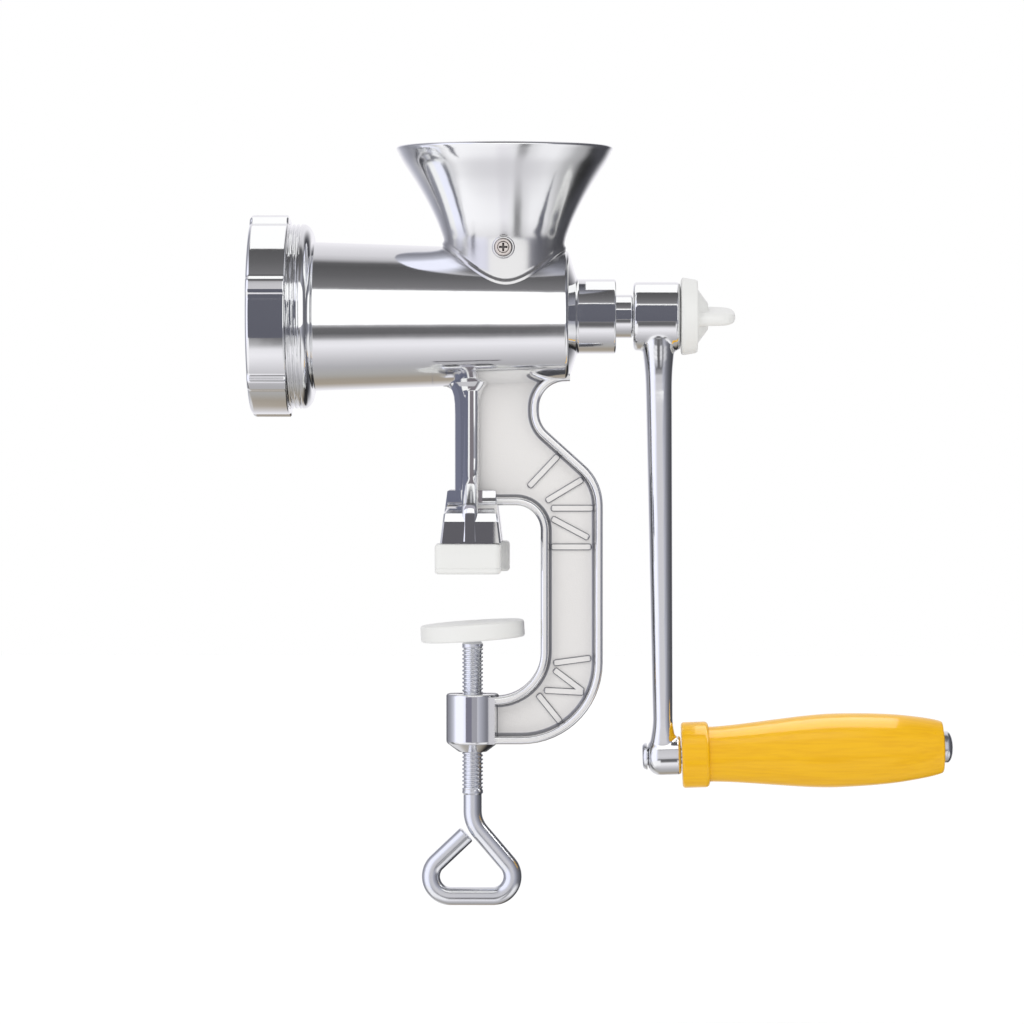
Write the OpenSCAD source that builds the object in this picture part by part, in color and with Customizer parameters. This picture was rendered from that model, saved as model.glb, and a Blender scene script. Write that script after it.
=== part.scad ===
// Hand-cranked meat grinder with a screw clamp for a table top. Lengths are in millimetres.
// X runs back along the barrel to the crank, Y away from the viewer and Z up. The origin lies
// on the clamp screw's axis, level with the undersides of the two upper pads.

/* [Placement] */
// Height of the barrel's axis above the undersides of the upper pads
barrel_axis_z = 97.2; // [92:0.1:104]
// Distance from the clamp screw's axis forward to the barrel's front face
barrel_reach = 79.8; // [77:0.1:84]
// Distance from the clamp screw's axis back to the barrel's rear edge
barrel_tail = 36.3; // [34:0.1:40]
// Distance from the barrel's rear edge forward to the hopper's axis
hopper_inset = 24.1; // [22.5:0.1:28]

/* [Barrel] */
// Outer radius of the barrel behind the thread's shoulder
barrel_front_r = 28.2; // [27.6:0.1:29]
// Outer radius of the barrel at its rear edge
barrel_back_r = 24.9; // [24.5:0.1:26]
// Wall of the barrel
barrel_wall = 3.5; // [3:0.1:4]
// Crest radius of the thread for the ring nut
thread_r = 35; // [34.6:0.1:36]
// Length of the threaded collar
thread_length = 15.8; // [14:0.1:18]
// Pitch of the thread for the ring nut
thread_pitch = 1.6; // [1.5:0.1:2]
// Depth of the thread for the ring nut
thread_depth = 0.8; // [0.5:0.1:1]
// Length of the rounded shoulder behind the thread
shoulder_length = 4.3; // [3:0.1:6]
// Length of the cone behind the barrel's rear edge
rear_cone_length = 3.4; // [2:0.1:5]
// Thickness of the rear wall at the bearing
rear_wall = 6.2; // [5:0.1:8]
// Outer radius of the rear bearing boss
bearing_boss_r = 14.1; // [13:0.1:16]
// Length of the rear bearing boss
bearing_boss_length = 14.8; // [12:0.1:18]
// Room behind the knife before the plate's chamber narrows to the bore
chamber_room = 1.1; // [0.8:0.1:1.6]
// Number of feed grooves along the bore
groove_count = 4; // [2:1:6]
// Width of a feed groove
groove_width = 3; // [2:0.1:4]
// Depth of a feed groove
groove_depth = 0.9; // [0.5:0.1:1.2]

/* [Hopper] */
// Inner radius of the throat
throat_r = 17.8; // [16:0.1:18.5]
// Wall of the collar that stands on the barrel
collar_wall = 2.4; // [2:0.1:2.6]
// Height of the collar's top above the barrel's axis
collar_height = 30.6; // [30:0.1:33]
// Wall of the hopper
hopper_wall = 1.85; // [1.5:0.05:2.2]
// Wall of the hopper at its rim, measured level
rim_wall = 2.1; // [1.8:0.1:2.6]
// Height above the barrel's axis where the skirt opens into the cone
skirt_height = 27.2; // [26:0.1:29]
// Radius of the hopper's rim
rim_r = 41.1; // [38:0.1:46]
// Height of the rim above the barrel's axis
rim_height = 63.4; // [58:0.1:70]
// Width of the bead along the skirt's saddle edge
saddle_bead = 0.9; // [0.5:0.1:1.4]
// Height of the hopper's screws above the barrel's axis
hopper_screw_height = 25.6; // [24.5:0.1:26]
// Thread radius of the hopper's screws
hopper_screw_r = 1.95; // [1.5:0.05:2.2]
// Head radius of the hopper's screws
hopper_head_r = 3.5; // [3:0.1:3.8]
// Head height of the hopper's screws
hopper_head_height = 1.9; // [1.4:0.1:2.4]

/* [Ring nut] */
// Wall of the ring nut outside the thread's crests
ring_wall = 2.2; // [1.8:0.1:3]
// Width of the ring nut
ring_width = 14.8; // [13:0.1:17]
// Thickness of the lip that holds the plate
ring_lip = 3; // [2.4:0.1:4]
// Radius of the outlet through the lip
outlet_r = 27; // [26:0.1:28.5]
// Rounding of the ring nut's front edge
ring_edge_r = 2.2; // [1:0.1:2.8]
// Number of grip ridges
ridge_count = 6; // [4:1:8]
// Height of a grip ridge
ridge_height = 1.6; // [1:0.1:2.5]
// Width of a grip ridge at its foot
ridge_base = 8.4; // [6:0.1:11]
// Width of a grip ridge at its top
ridge_top = 3; // [2:0.1:5]
// Angle of the first ridge above the near side's level
ridge_turn = 77; // [0:1:180]

/* [Grinding plate] */
// Radius of the plate
plate_r = 31; // [30.5:0.1:31.4]
// Thickness of the plate
plate_thickness = 5; // [4.4:0.1:6]
// How far the plate stands out of the barrel
plate_proud = 1; // [0.6:0.1:1.6]
// Radius of a mincing hole
mince_hole_r = 2.4; // [1.5:0.1:2.8]
// Radius of the inner circle of mincing holes
first_circle_r = 9.2; // [8.8:0.1:9.8]
// Distance between circles of mincing holes
circle_step = 6.3; // [6:0.1:6.8]
// Number of circles of mincing holes
circle_count = 3; // [2:1:3]
// Distance between neighbouring mincing holes on a circle
hole_spacing = 6.6; // [6.2:0.1:7.2]
// Radius of the key pin that stops the plate turning
key_r = 1.6; // [1.2:0.1:1.8]

/* [Knife] */
// Thickness of the knife's hub
knife_thickness = 6.5; // [5.5:0.1:8]
// Radius of the knife's hub
knife_hub_r = 9; // [8:0.1:11]
// Radius that the blades reach
knife_reach = 29.2; // [27:0.1:29.3]
// Width of a blade
blade_width = 8.6; // [7:0.1:10]
// Thickness of a blade
blade_thickness = 4.6; // [3.5:0.1:5.5]
// Side of the spigot's square
spigot_square = 9; // [8:0.1:9.4]
// Radius of the spigot's round pin in the plate
spigot_pin_r = 4; // [3.5:0.1:4.3]
// Depth of the spigot in the auger
spigot_depth = 14; // [10:0.5:20]

/* [Auger] */
// Turns of the helical flight
flight_turns = 3.75; // [3:0.25:5]
// How much wider the rear turns are than an even spiral's
flight_spread = 0.22; // [0:0.01:0.35]
// Clearance of the flight in the bore
flight_gap = 0.6; // [0.3:0.1:1]
// Thickness of the flight at its tip
flight_tip = 2.6; // [2:0.1:4]
// Thickness of the flight at the core
flight_root = 6; // [4.5:0.1:8]
// Radius of the core at the front
core_front_r = 11; // [9:0.1:13]
// Radius of the core at the rear
core_back_r = 9; // [8.6:0.1:12]
// Radius of the disc behind the flight
thrust_disc_r = 18; // [14:0.1:19.5]
// Thickness of the disc behind the flight
thrust_disc_thickness = 3; // [2:0.1:5]
// Thickness of the thrust washer
washer_thickness = 1.5; // [1:0.1:2.5]
// Radius of the thrust washer
washer_r = 16; // [13:0.1:19]
// Radius of the journal in the rear bearing
journal_r = 8.2; // [8.1:0.05:8.6]
// Length of the journal between the bearing boss and the crank
neck_length = 6.3; // [4:0.1:9]
// Wall of the rear bearing's bush
bush_wall = 2.2; // [1.5:0.1:3]
// Side of the square that drives the crank
drive_square = 11.2; // [10:0.1:11.4]
// Length of the square that drives the crank
drive_length = 15; // [13:0.1:16]

/* [Crank] */
// Distance from the barrel's axis to the grip's spindle
crank_throw = 167; // [140:1:200]
// Length of the crank's hub along the axis
hub_length = 17.9; // [17:0.1:20]
// Radius of the crank's hub
hub_r = 13; // [12:0.1:15]
// Rounding of the hub's edges
hub_edge = 1.4; // [0.5:0.1:2.5]
// Place of the arm along the hub, as a share of its length
arm_place_share = 0.54; // [0.5:0.01:0.6]
// Outward lean of the arm from the hub to the spindle
arm_lean = 2.2; // [0:0.1:4]
// Half thickness of the arm at the hub
arm_top_r = 5.3; // [4.6:0.1:6]
// Half thickness of the arm above the spindle boss
arm_bottom_r = 3.65; // [3.2:0.05:4.4]
// Width of the arm as a share of its thickness
arm_depth_share = 1.45; // [1.1:0.05:1.8]
// Growth of the arm's thickness where it meets the hub
arm_root_share = 1.25; // [1.1:0.05:1.4]
// Growth of the arm's thickness where it meets the spindle's boss
arm_foot_share = 1.6; // [1.3:0.05:1.8]
// Length over which the arm grows into the spindle's boss
arm_foot_length = 13.3; // [10:0.1:16]
// Radius of the boss that holds the grip's spindle
spindle_boss_r = 7.4; // [6.8:0.1:9]
// Length of the boss that holds the grip's spindle
spindle_boss_length = 12.9; // [11:0.1:16]
// Upward tilt of the grip's spindle in degrees
spindle_tilt = 1.86; // [0:0.01:3]
// Radius of the grip's spindle
spindle_r = 3.5; // [3:0.1:4]
// Radius of the spindle's rivet head
rivet_r = 4.5; // [4.2:0.1:5.5]
// Height of the spindle's rivet head
rivet_height = 1.5; // [1:0.1:2.5]

/* [Grip] */
// Length of the grip
grip_length = 99.4; // [85:0.1:115]
// Radius of the grip's collar
grip_collar_r = 12.5; // [11.5:0.1:14]
// Length of the grip's collar
grip_collar_length = 10.4; // [8:0.1:14]
// Radius of the grip's neck
grip_neck_r = 10.4; // [9:0.1:11.4]
// Radius of the grip's swell
grip_swell_r = 14; // [12:0.1:16]
// Radius of the grip's end
grip_end_r = 10.6; // [9.5:0.1:12]
// Radius of the steel cap on the grip's end
cap_r = 6; // [5:0.1:8]
// Height of the steel cap on the grip's end
cap_height = 3.5; // [3:0.1:5]

/* [Thumb screw] */
// Radius of the knob's disc on the crank side
knob_r = 14.9; // [13.5:0.1:17]
// Radius of the knob's disc on the outside
knob_outer_r = 13.8; // [12.5:0.1:16]
// Thickness of the knob's disc
knob_thickness = 6.4; // [5:0.1:8]
// Length of the cone between the disc and the wing
knob_cone_length = 3.9; // [3:0.1:6]
// Radius of the cone at the disc
knob_cone_r = 10.3; // [9:0.1:12]
// Thickness of the wing
wing_thickness = 5; // [4:0.1:7]
// Width of the wing
wing_width = 22; // [18:0.5:26]
// Length of the wing beyond the disc
wing_length = 14.2; // [11:0.1:18]
// Turn of the wing about the axis in degrees
wing_turn = 9; // [0:1:90]
// Radius of the steel stud
stud_r = 4; // [3.5:0.1:4.5]
// Length of the stud in the auger's square
stud_reach = 14; // [13:0.5:18]

/* [Clamp frame] */
// Width of the frame's rims across the frame
rim_depth = 16; // [14:0.5:20]
// Thickness of the frame's web
web_thickness = 5; // [4:0.1:7]
// Width of the frame's rims in its plane
rim_width = 3; // [2.4:0.1:4]
// How far the frame's back edge lies behind the barrel's rear edge
limb_overhang = 13.2; // [10:0.1:18]
// Width of the frame's back limb
limb_width = 23.5; // [22:0.1:26]
// Height of the opening's top above the upper pads' undersides
opening_top_z = 25.6; // [24:0.1:27]
// Distance from the upper pads' undersides down to the top of the screw boss
opening_drop = 46.2; // [45:0.1:52]
// How far the frame's neck lies in front of the barrel's rear edge
neck_inset = 11.1; // [9:0.1:13]
// Height of the neck's lower corner above the upper pads' undersides
neck_low_z = 56.4; // [53:0.1:60]
// Height of the shoulder corner above the upper pads' undersides
shoulder_z = 34.5; // [30:0.1:38]
// Rounding of the shoulder corner
shoulder_round = 20.5; // [12:0.5:24]
// Rounding of the neck's lower corner
neck_round = 10.2; // [7:0.1:13]
// Rounding of the neck's top into the barrel
neck_top_round = 10; // [8:0.1:11]
// Rounding of the opening's upper corner
opening_top_round = 9.5; // [7:0.1:12]
// Rounding of the opening's lower corner
opening_low_round = 17.1; // [12:0.1:20]
// Rounding of the frame's lower back corner
heel_round = 31; // [20:0.5:34]
// Thickness of the lower arm
lower_arm = 18.1; // [16:0.1:22]
// Thickness of the front leg
leg_width = 9.5; // [8:0.1:11]
// Distance from the clamp screw's axis forward to the front leg
leg_front = 6.6; // [5:0.1:8]
// How far the leg's top spreads forward under the barrel
leg_flare = 4.4; // [3:0.1:6]
// Width of the embossed ribs
rib_width = 2.5; // [2:0.1:3.2]
// Height of the embossed ribs above the web
rib_height = 0.8; // [0.5:0.1:1.2]
// Radius of the clamp screw's boss
screw_boss_r = 10; // [9:0.1:12]
// Length of the clamp screw's boss
screw_boss_length = 18.9; // [17:0.1:22]
// Length of the cone under the boss
boss_cone_length = 3.2; // [2:0.1:4]
// Radius of that cone at its lower end
boss_cone_r = 5.4; // [5:0.1:6.4]
// Length of the flat-sided block behind the boss
boss_block = 8.6; // [7:0.1:9.4]

/* [Jaw] */
// Length of the jaw foot across the frame
foot_span = 44; // [40:0.5:52]
// Width of the jaw foot at its underside
foot_width = 22.9; // [21:0.1:26]
// Width of the jaw foot at its top
foot_top_width = 18.3; // [16:0.1:21]
// Height of the jaw foot's underside above the upper pads' undersides
foot_bottom_z = 11.7; // [10:0.1:13]
// Height of the jaw foot's top above the upper pads' undersides
foot_top_z = 31.3; // [30:0.1:34]
// Thickness of the jaw foot's toes
toe_thickness = 6.2; // [5:0.1:8]
// Distance of the jaw foot's middle behind the clamp screw's axis
foot_offset = -0.2; // [-2:0.1:1]
// Width of the gusset in the middle of the jaw foot
gusset_width = 6.1; // [5:0.1:8]
// Length of an upper pad along the barrel
pad_length = 24.8; // [23:0.1:28]
// Width of an upper pad across the frame
pad_width = 14; // [12:0.1:16]
// Height of an upper pad
pad_height = 11.4; // [10.5:0.1:12]
// Thickness of the upper pad's sole
pad_sole = 3.2; // [2.5:0.1:4.5]
// Wall of the upper pad round its lug
pad_wall = 2.9; // [2.6:0.1:3.4]
// Distance of the near pad's middle behind the clamp screw's axis
near_pad_offset = -1.3; // [-1.8:0.1:0]
// Distance of the far pad's middle behind the clamp screw's axis
far_pad_offset = 1.4; // [-1:0.1:1.5]

/* [Clamp screw] */
// Crest radius of the clamp screw's thread
screw_r = 4; // [3.6:0.1:4.4]
// Pitch of the clamp screw's thread
screw_pitch = 1.5; // [1.2:0.05:1.75]
// Depth of the clamp screw's thread
screw_depth = 0.6; // [0.3:0.05:0.7]
// Length of the clamp screw's thread
screw_thread_length = 58.3; // [50:0.1:66]
// Radius of the clamp screw's rod
rod_r = 3.5; // [3:0.1:3.6]
// Length of the plain rod above its first bend
rod_drop = 6.3; // [4:0.1:10]
// Bend radius at the top of the loop
loop_entry_bend = 12; // [9:0.5:15]
// Bend radius at the loop's corners
loop_corner_bend = 7.5; // [6.5:0.1:8.5]
// Lean of the rod's run down into the loop in degrees
loop_lean = 40.4; // [38:0.1:43]
// Length of the rod's run down into the loop
loop_run = 16.3; // [14:0.1:20]
// Length of the loop's base between its corners
loop_base = 16.1; // [14:0.1:18]
// Length of the loop's closing run
loop_closing_run = 15; // [12:0.1:15.4]
// Turn of the rod into the loop's closing run in degrees
loop_closing_turn = 136.5; // [134:0.5:138]

/* [Clamp pad] */
// Gap between the upper pads and the clamp pad as it stands
jaw_gap = 18.6; // [16:0.1:21]
// Distance from the clamp pad's edge back to the edge of the opening
pad_clearance = 6.2; // [4:0.1:8]
// Thickness of the clamp pad at its edge
clamp_pad_thickness = 6.5; // [6.3:0.1:8]
// Rise of the clamp pad's middle above its edge
clamp_pad_crown = 0.5; // [0.3:0.1:0.8]
// Tilt of the clamp pad as it stands, in degrees
clamp_pad_tilt = 3.85; // [0:0.05:5]
// Greatest tilt of the clamp pad either way, in degrees
clamp_pad_swing = 8; // [6:0.5:9]
// Radius of the swivel pin's ball
ball_r = 2.8; // [2.6:0.05:2.9]
// Radius of the swivel pin's neck and shank
swivel_r = 1.5; // [1.3:0.05:1.7]
// Length of the swivel pin's shank in the screw
swivel_length = 10; // [7:0.5:14]

/* [Fits] */
// Radial clearance of a shaft, pin or thread that turns or slides
fit_gap = 0.06; // [0.03:0.01:0.09]
// Clearance between pieces that are fixed together
seat_gap = 0.05; // [0.02:0.01:0.1]
// Clearance between flat faces that move past each other
face_gap = 0.2; // [0.1:0.05:0.3]

/* [Hidden] */
$fn = 96;

// Overrun of a cut past the face that it opens
overrun = 1;
// Angle between the points of a rounded outline corner
corner_step = 7.5;
// Start and end of a thread's crest as shares of its pitch
crest_start_share = 0.35;
crest_end_share = 0.65;
// Number of points along a curved profile
curve_steps = 12;

// Places along the barrel
front_x = -barrel_reach;
thread_end_x = front_x + thread_length;
barrel_start_x = thread_end_x + shoulder_length;
barrel_end_x = barrel_tail;
barrel_length = barrel_reach + barrel_tail;
hopper_offset = barrel_end_x - hopper_inset;
frame_back_x = barrel_end_x + limb_overhang;
opening_back_x = frame_back_x - limb_width;
neck_back_x = barrel_end_x - neck_inset;
clamp_pad_r = opening_back_x - pad_clearance;
ring_r = thread_r + ring_wall;
boss_start_x = barrel_end_x + rear_cone_length;
boss_end_x = boss_start_x + bearing_boss_length;
inner_end_x = boss_start_x - rear_wall;
plate_front_x = front_x - plate_proud;
plate_back_x = plate_front_x + plate_thickness;
knife_front_x = plate_back_x + face_gap;
auger_front_x = knife_front_x + knife_thickness;
lip_back_x = plate_front_x - face_gap;
ring_front_x = lip_back_x - ring_lip;
washer_back_x = inner_end_x - face_gap;
disc_back_x = washer_back_x - washer_thickness;
flight_back_x = disc_back_x - thrust_disc_thickness;
neck_end_x = boss_end_x + neck_length;
hub_x = neck_end_x + face_gap;
hub_end_x = hub_x + hub_length;
drive_end_x = neck_end_x + drive_length;
knob_x = hub_end_x + face_gap;

// Sizes of the bore and its chamber
chamber_r = plate_r + fit_gap;
chamber_end_x = auger_front_x + chamber_room;
bore_start_x = chamber_end_x + barrel_wall;

// Sizes of the throat
collar_r = throat_r + collar_wall;
skirt_in_r = collar_r + seat_gap;
skirt_r = skirt_in_r + hopper_wall;
screw_seat_y = skirt_r + hopper_wall;

// Sizes of the crank
arm_top_x = hub_x + hub_length * arm_place_share;
spindle_x = arm_top_x + arm_lean;
spindle_z = barrel_axis_z - crank_throw;
grip_start = spindle_boss_length / 2 + face_gap + seat_gap;

// Sizes of the clamp
boss_top_z = -opening_drop;
boss_bottom_z = boss_top_z - screw_boss_length;
ball_z = -jaw_gap - clamp_pad_thickness / 2 - clamp_pad_crown;
screw_top_z = ball_z - clamp_pad_thickness / 2 - screw_r * sin(clamp_pad_swing) - face_gap;
screw_thread_end_z = screw_top_z - screw_thread_length;
rod_knuckle = rod_r / 100;
pad_centre_y = foot_span / 2 - pad_wall / 2 - pad_width / 2 + pad_wall;

function barrel_r(x) =
    barrel_front_r + (barrel_back_r - barrel_front_r) * (x - barrel_start_x)
        / (barrel_end_x - barrel_start_x);
function bore_r(x) = barrel_r(x) - barrel_wall;
function pad_x(side) = side < 0 ? near_pad_offset : far_pad_offset;

// Points along an arc or part of an ellipse
function arc(centre, rx, ry, from, to) =
    [for (i = [0:curve_steps]) let (a = from + (to - from) * i / curve_steps)
        centre + [rx * cos(a), ry * sin(a)]];

// Crests and roots of a thread as a lathe outline, from start to end along the axis
function thread_points(r, depth, start, end, pitch) =
    let (count = floor((end - start) / pitch))
    concat([for (i = [0:count - 1]) each
        [[r - depth, start + i * pitch], [r, start + (i + crest_start_share) * pitch], [r,
            start + (i + crest_end_share) * pitch]]],
        [[r - depth, start + count * pitch]]);

// Outline corners are [x, y, radius]; each corner becomes an arc that meets both edges smoothly
function unit(v) = v / norm(v);
function flat(c) = [c.x, c.y];
function corner_arc(before, corner, after, r) =
    let (u = unit(before - corner), v = unit(after - corner),
        half = acos(max(-1, min(1, u * v))) / 2,
        centre = corner + unit(u + v) * r / sin(half),
        p = corner + u * r / tan(half) - centre,
        q = corner + v * r / tan(half) - centre,
        start = atan2(p.y, p.x),
        turn = (atan2(q.y, q.x) - start + 540) % 360 - 180,
        steps = ceil(abs(turn) / corner_step))
    [for (i = [0:steps]) let (a = start + turn * i / steps) centre + r * [cos(a), sin(a)]];
function rounded(corners) =
    let (n = len(corners))
    [for (i = [0:n - 1]) each corners[i][2] == 0 ? [flat(corners[i])]
        : corner_arc(flat(corners[(i + n - 1) % n]), flat(corners[i]), flat(corners[(i + 1) % n]),
            corners[i][2])];

// The same outline drawn a set distance further in; the corners run counterclockwise
function left_of(v) = [-v.y, v.x];
function inset(corners, distance) =
    let (n = len(corners))
    [for (i = [0:n - 1])
        let (b = flat(corners[i]),
            m = left_of(unit(b - flat(corners[(i + n - 1) % n]))),
            k = left_of(unit(flat(corners[(i + 1) % n]) - b)),
            p = b + (m + k) * distance / (1 + m * k),
            bend = sign(m.x * k.y - m.y * k.x))
        [p.x, p.y, corners[i][2] == 0 ? 0 : corners[i][2] - distance * bend]];

// Turns a lathe outline of [radius, x] points about the barrel's axis
module lathe_x(points) {
    translate([0, 0, barrel_axis_z]) rotate([0, 90, 0]) rotate_extrude() polygon(points);
}

// Lays children that stand on the XY plane along the barrel's axis, starting at x
module along_barrel(x) {
    translate([x, 0, barrel_axis_z]) rotate([0, 90, 0]) children();
}

module at_hopper(height = 0) {
    translate([hopper_offset, 0, barrel_axis_z + height]) children();
}

// Lays children along the grip's spindle, starting at a distance from the middle of its boss
module along_spindle(start = 0) {
    translate([spindle_x, 0, spindle_z]) rotate([0, 90 - spindle_tilt, 0]) translate([0, 0,
        start]) children();
}

module ring(outer_r, inner_r, height) {
    difference() {
        cylinder(r = outer_r, h = height);
        translate([0, 0, -overrun]) cylinder(r = inner_r, h = height + 2 * overrun);
    }
}

module block(size) {
    translate([-size.x / 2, -size.y / 2, 0]) cube(size);
}

// The barrel's taper, grown by a clearance, to cut whatever is seated on it
module barrel_taper(grow) {
    lathe_x([[0, barrel_start_x], [barrel_front_r + grow, barrel_start_x],
        [barrel_back_r + grow, barrel_end_x], [0, barrel_end_x]]);
}

module barrel_bore(grow) {
    lathe_x([[0, bore_start_x], [bore_r(bore_start_x) + grow, bore_start_x],
        [bore_r(inner_end_x) + grow, inner_end_x], [0, inner_end_x]]);
}

module barrel() color("silver") {
    edge = rear_cone_length / 5;
    difference() {
        union() {
            lathe_x(concat([[0, front_x]],
                thread_points(thread_r, thread_depth, front_x, thread_end_x, thread_pitch),
                [for (p = arc([barrel_front_r, thread_end_x], thread_r - barrel_front_r, shoulder_length,
                    0, 90)) p],
                [[barrel_back_r, barrel_end_x], [bearing_boss_r, boss_start_x],
                    [bearing_boss_r, boss_end_x - edge], [bearing_boss_r - edge, boss_end_x], [0,
                        boss_end_x]]));
            at_hopper() cylinder(r = collar_r, h = collar_height);
        }
        lathe_x([[0, front_x - overrun], [chamber_r, front_x - overrun], [chamber_r, chamber_end_x],
            [bore_r(bore_start_x), bore_start_x], [0, bore_start_x]]);
        barrel_bore(0);
        intersection() {
            barrel_bore(groove_depth);
            for (i = [0:groove_count - 1]) along_barrel(bore_start_x)
                rotate([0, 0, 180 / groove_count + 360 / groove_count * i])
                    translate([0, -groove_width / 2, 0]) cube([barrel_front_r, groove_width, barrel_length]);
        }
        at_hopper() cylinder(r = throat_r, h = collar_height + overrun);
        at_hopper(hopper_screw_height) rotate([90, 0, 0])
            translate([0, 0, -screw_seat_y]) cylinder(r = hopper_screw_r + seat_gap, h = 2 * screw_seat_y);
        along_barrel(inner_end_x - overrun)
            cylinder(r = journal_r + fit_gap + bush_wall + seat_gap,
                h = boss_end_x - inner_end_x + 2 * overrun);
        key_place(-overrun) cylinder(r = key_r + seat_gap, h = plate_thickness - plate_proud + overrun);
    }
}

// The key pin lies at the bottom of the chamber, half in the wall and half in the plate's notch
module key_place(start) {
    translate([front_x + start, 0, barrel_axis_z - chamber_r]) rotate([0, 90, 0]) children();
}

module plate_key() color("dimgray") {
    key_place(0) cylinder(r = key_r, h = plate_thickness - plate_proud - face_gap);
}

module rear_bush() color("white") {
    along_barrel(inner_end_x) ring(journal_r + fit_gap + bush_wall, journal_r + fit_gap,
        boss_end_x - inner_end_x);
}

// The flare as shares of the rise from skirt to rim and of the growth in radius
flare_shares = [[0, 0], [0.03, 0.037], [0.135, 0.105], [0.24, 0.186], [0.345, 0.279], [0.45, 0.38], [0.555,
    0.492],
    [0.66, 0.612], [0.765, 0.742], [0.87, 0.87], [0.975, 0.99], [1, 1]];
function flare(start_r, end_r) = [for (s = flare_shares)
    [start_r + (end_r - start_r) * s[1], skirt_height + (rim_height - skirt_height) * s[0]]];
function backwards(list) = [for (i = [len(list) - 1:-1:0]) list[i]];

module hopper() color("lightgray") {
    lip_r = rim_wall / 2;
    difference() {
        union() {
            at_hopper() rotate_extrude() union() {
                polygon(concat([[skirt_in_r, 0], [skirt_r, 0]], flare(skirt_r, rim_r),
                    backwards(flare(skirt_in_r, rim_r - rim_wall))));
                translate([rim_r - lip_r, rim_height]) circle(r = lip_r);
            }
            intersection() {
                at_hopper() ring(skirt_r + saddle_bead, skirt_in_r, skirt_height);
                barrel_taper(saddle_bead + seat_gap);
            }
            for (side = [-1, 1]) at_hopper(hopper_screw_height) rotate([90 * side, 0, 0])
                cylinder(r = hopper_head_r + saddle_bead, h = screw_seat_y);
        }
        barrel_taper(seat_gap);
        at_hopper() rotate_extrude() polygon(concat([[0, 0], [skirt_in_r, 0]],
            flare(skirt_in_r, rim_r - rim_wall), [[0, rim_height]]));
        at_hopper(hopper_screw_height) rotate([90, 0, 0]) translate([0, 0, -screw_seat_y - overrun])
            cylinder(r = hopper_screw_r + seat_gap, h = 2 * (screw_seat_y + overrun));
    }
}

module hopper_screws() color("gainsboro") {
    slot = hopper_head_r / 3;
    tip_y = throat_r + collar_wall / 4;
    for (side = [-1, 1]) at_hopper(hopper_screw_height) rotate([90 * side, 0, 0]) {
        translate([0, 0, tip_y]) cylinder(r = hopper_screw_r, h = screw_seat_y + seat_gap - tip_y);
        translate([0, 0, screw_seat_y + seat_gap]) difference() {
            rotate_extrude() polygon(concat([[0, 0], [hopper_head_r, 0]],
                arc([hopper_head_r - hopper_head_height, 0], hopper_head_height, hopper_head_height, 0, 90),
                [[0, hopper_head_height]]));
            for (turn = [0, 90]) rotate([0, 0, turn]) translate([0, 0, hopper_head_height / 2])
                block([hopper_head_r, slot / 2, hopper_head_height]);
        }
    }
}

module ring_nut() color("silver") {
    ring_end_x = ring_front_x + ring_width;
    difference() {
        union() {
            ring_blank(ring_r);
            intersection() {
                ring_blank(ring_r + ridge_height);
                along_barrel(ring_front_x) for (i = [0:ridge_count - 1])
                    rotate([0, 0, 180 + (90 - ridge_turn) + 360 / ridge_count * i]) linear_extrude(ring_width)
                        polygon([[outlet_r, -ridge_base / 2], [ring_r - ridge_height / 2, -ridge_base / 2],
                            [ring_r + ridge_height, -ridge_top / 2], [ring_r + ridge_height, ridge_top / 2],
                            [ring_r - ridge_height / 2, ridge_base / 2], [outlet_r, ridge_base / 2]]);
            }
        }
        lathe_x([[0, ring_front_x - overrun], [outlet_r + ring_lip / 2 + overrun, ring_front_x - overrun],
            [outlet_r, ring_front_x + ring_lip / 2], [outlet_r, lip_back_x], [thread_r + fit_gap, lip_back_x],
            [thread_r + fit_gap, ring_end_x + overrun], [0, ring_end_x + overrun]]);
    }
}

// A plain ring with a rounded front edge and a broken back edge
module ring_blank(r) {
    back_edge = ring_edge_r / 3;
    ring_end_x = ring_front_x + ring_width;
    lathe_x(concat([[0, ring_front_x]],
        arc([r - ring_edge_r, ring_front_x + ring_edge_r], ring_edge_r, ring_edge_r, -90, 0),
        [[r, ring_end_x - back_edge], [r - back_edge, ring_end_x], [0, ring_end_x]]));
}

module grinding_plate() color("lightsteelblue") {
    difference() {
        along_barrel(plate_front_x) difference() {
            cylinder(r = plate_r, h = plate_thickness);
            translate([0, 0, -overrun]) cylinder(r = spigot_pin_r + fit_gap,
                h = plate_thickness + 2 * overrun);
            for (k = [0:circle_count - 1])
                let (r = first_circle_r + circle_step * k,
                    count = floor(360 / (2 * asin(hole_spacing / 2 / r))))
                    for (i = [0:count - 1]) rotate([0, 0, 360 / count * i]) translate([r, 0, -overrun])
                        cylinder(r = mince_hole_r, h = plate_thickness + 2 * overrun, $fn = 24);
        }
        key_place(-plate_proud - overrun) cylinder(r = key_r + face_gap, h = plate_thickness + 2 * overrun);
    }
}

module cross_knife() color("slategray") {
    rake = blade_width / 3;
    bevel = blade_thickness / 3;
    along_barrel(knife_front_x) difference() {
        union() {
            cylinder(r = knife_hub_r, h = knife_thickness);
            intersection() {
                cylinder(r = knife_reach, h = blade_thickness);
                for (i = [0:3]) rotate([0, 0, 90 * i]) rotate([90, 0,
                    90]) linear_extrude(knife_reach + overrun)
                    polygon([[-blade_width / 2, 0], [blade_width / 2, 0], [blade_width / 2, bevel],
                        [blade_width / 2 - bevel, blade_thickness], [rake - blade_width / 2,
                            blade_thickness]]);
            }
        }
        translate([0, 0, -overrun])
            block([spigot_square + 2 * seat_gap, spigot_square + 2 * seat_gap,
                knife_thickness + 2 * overrun]);
    }
}

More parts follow.
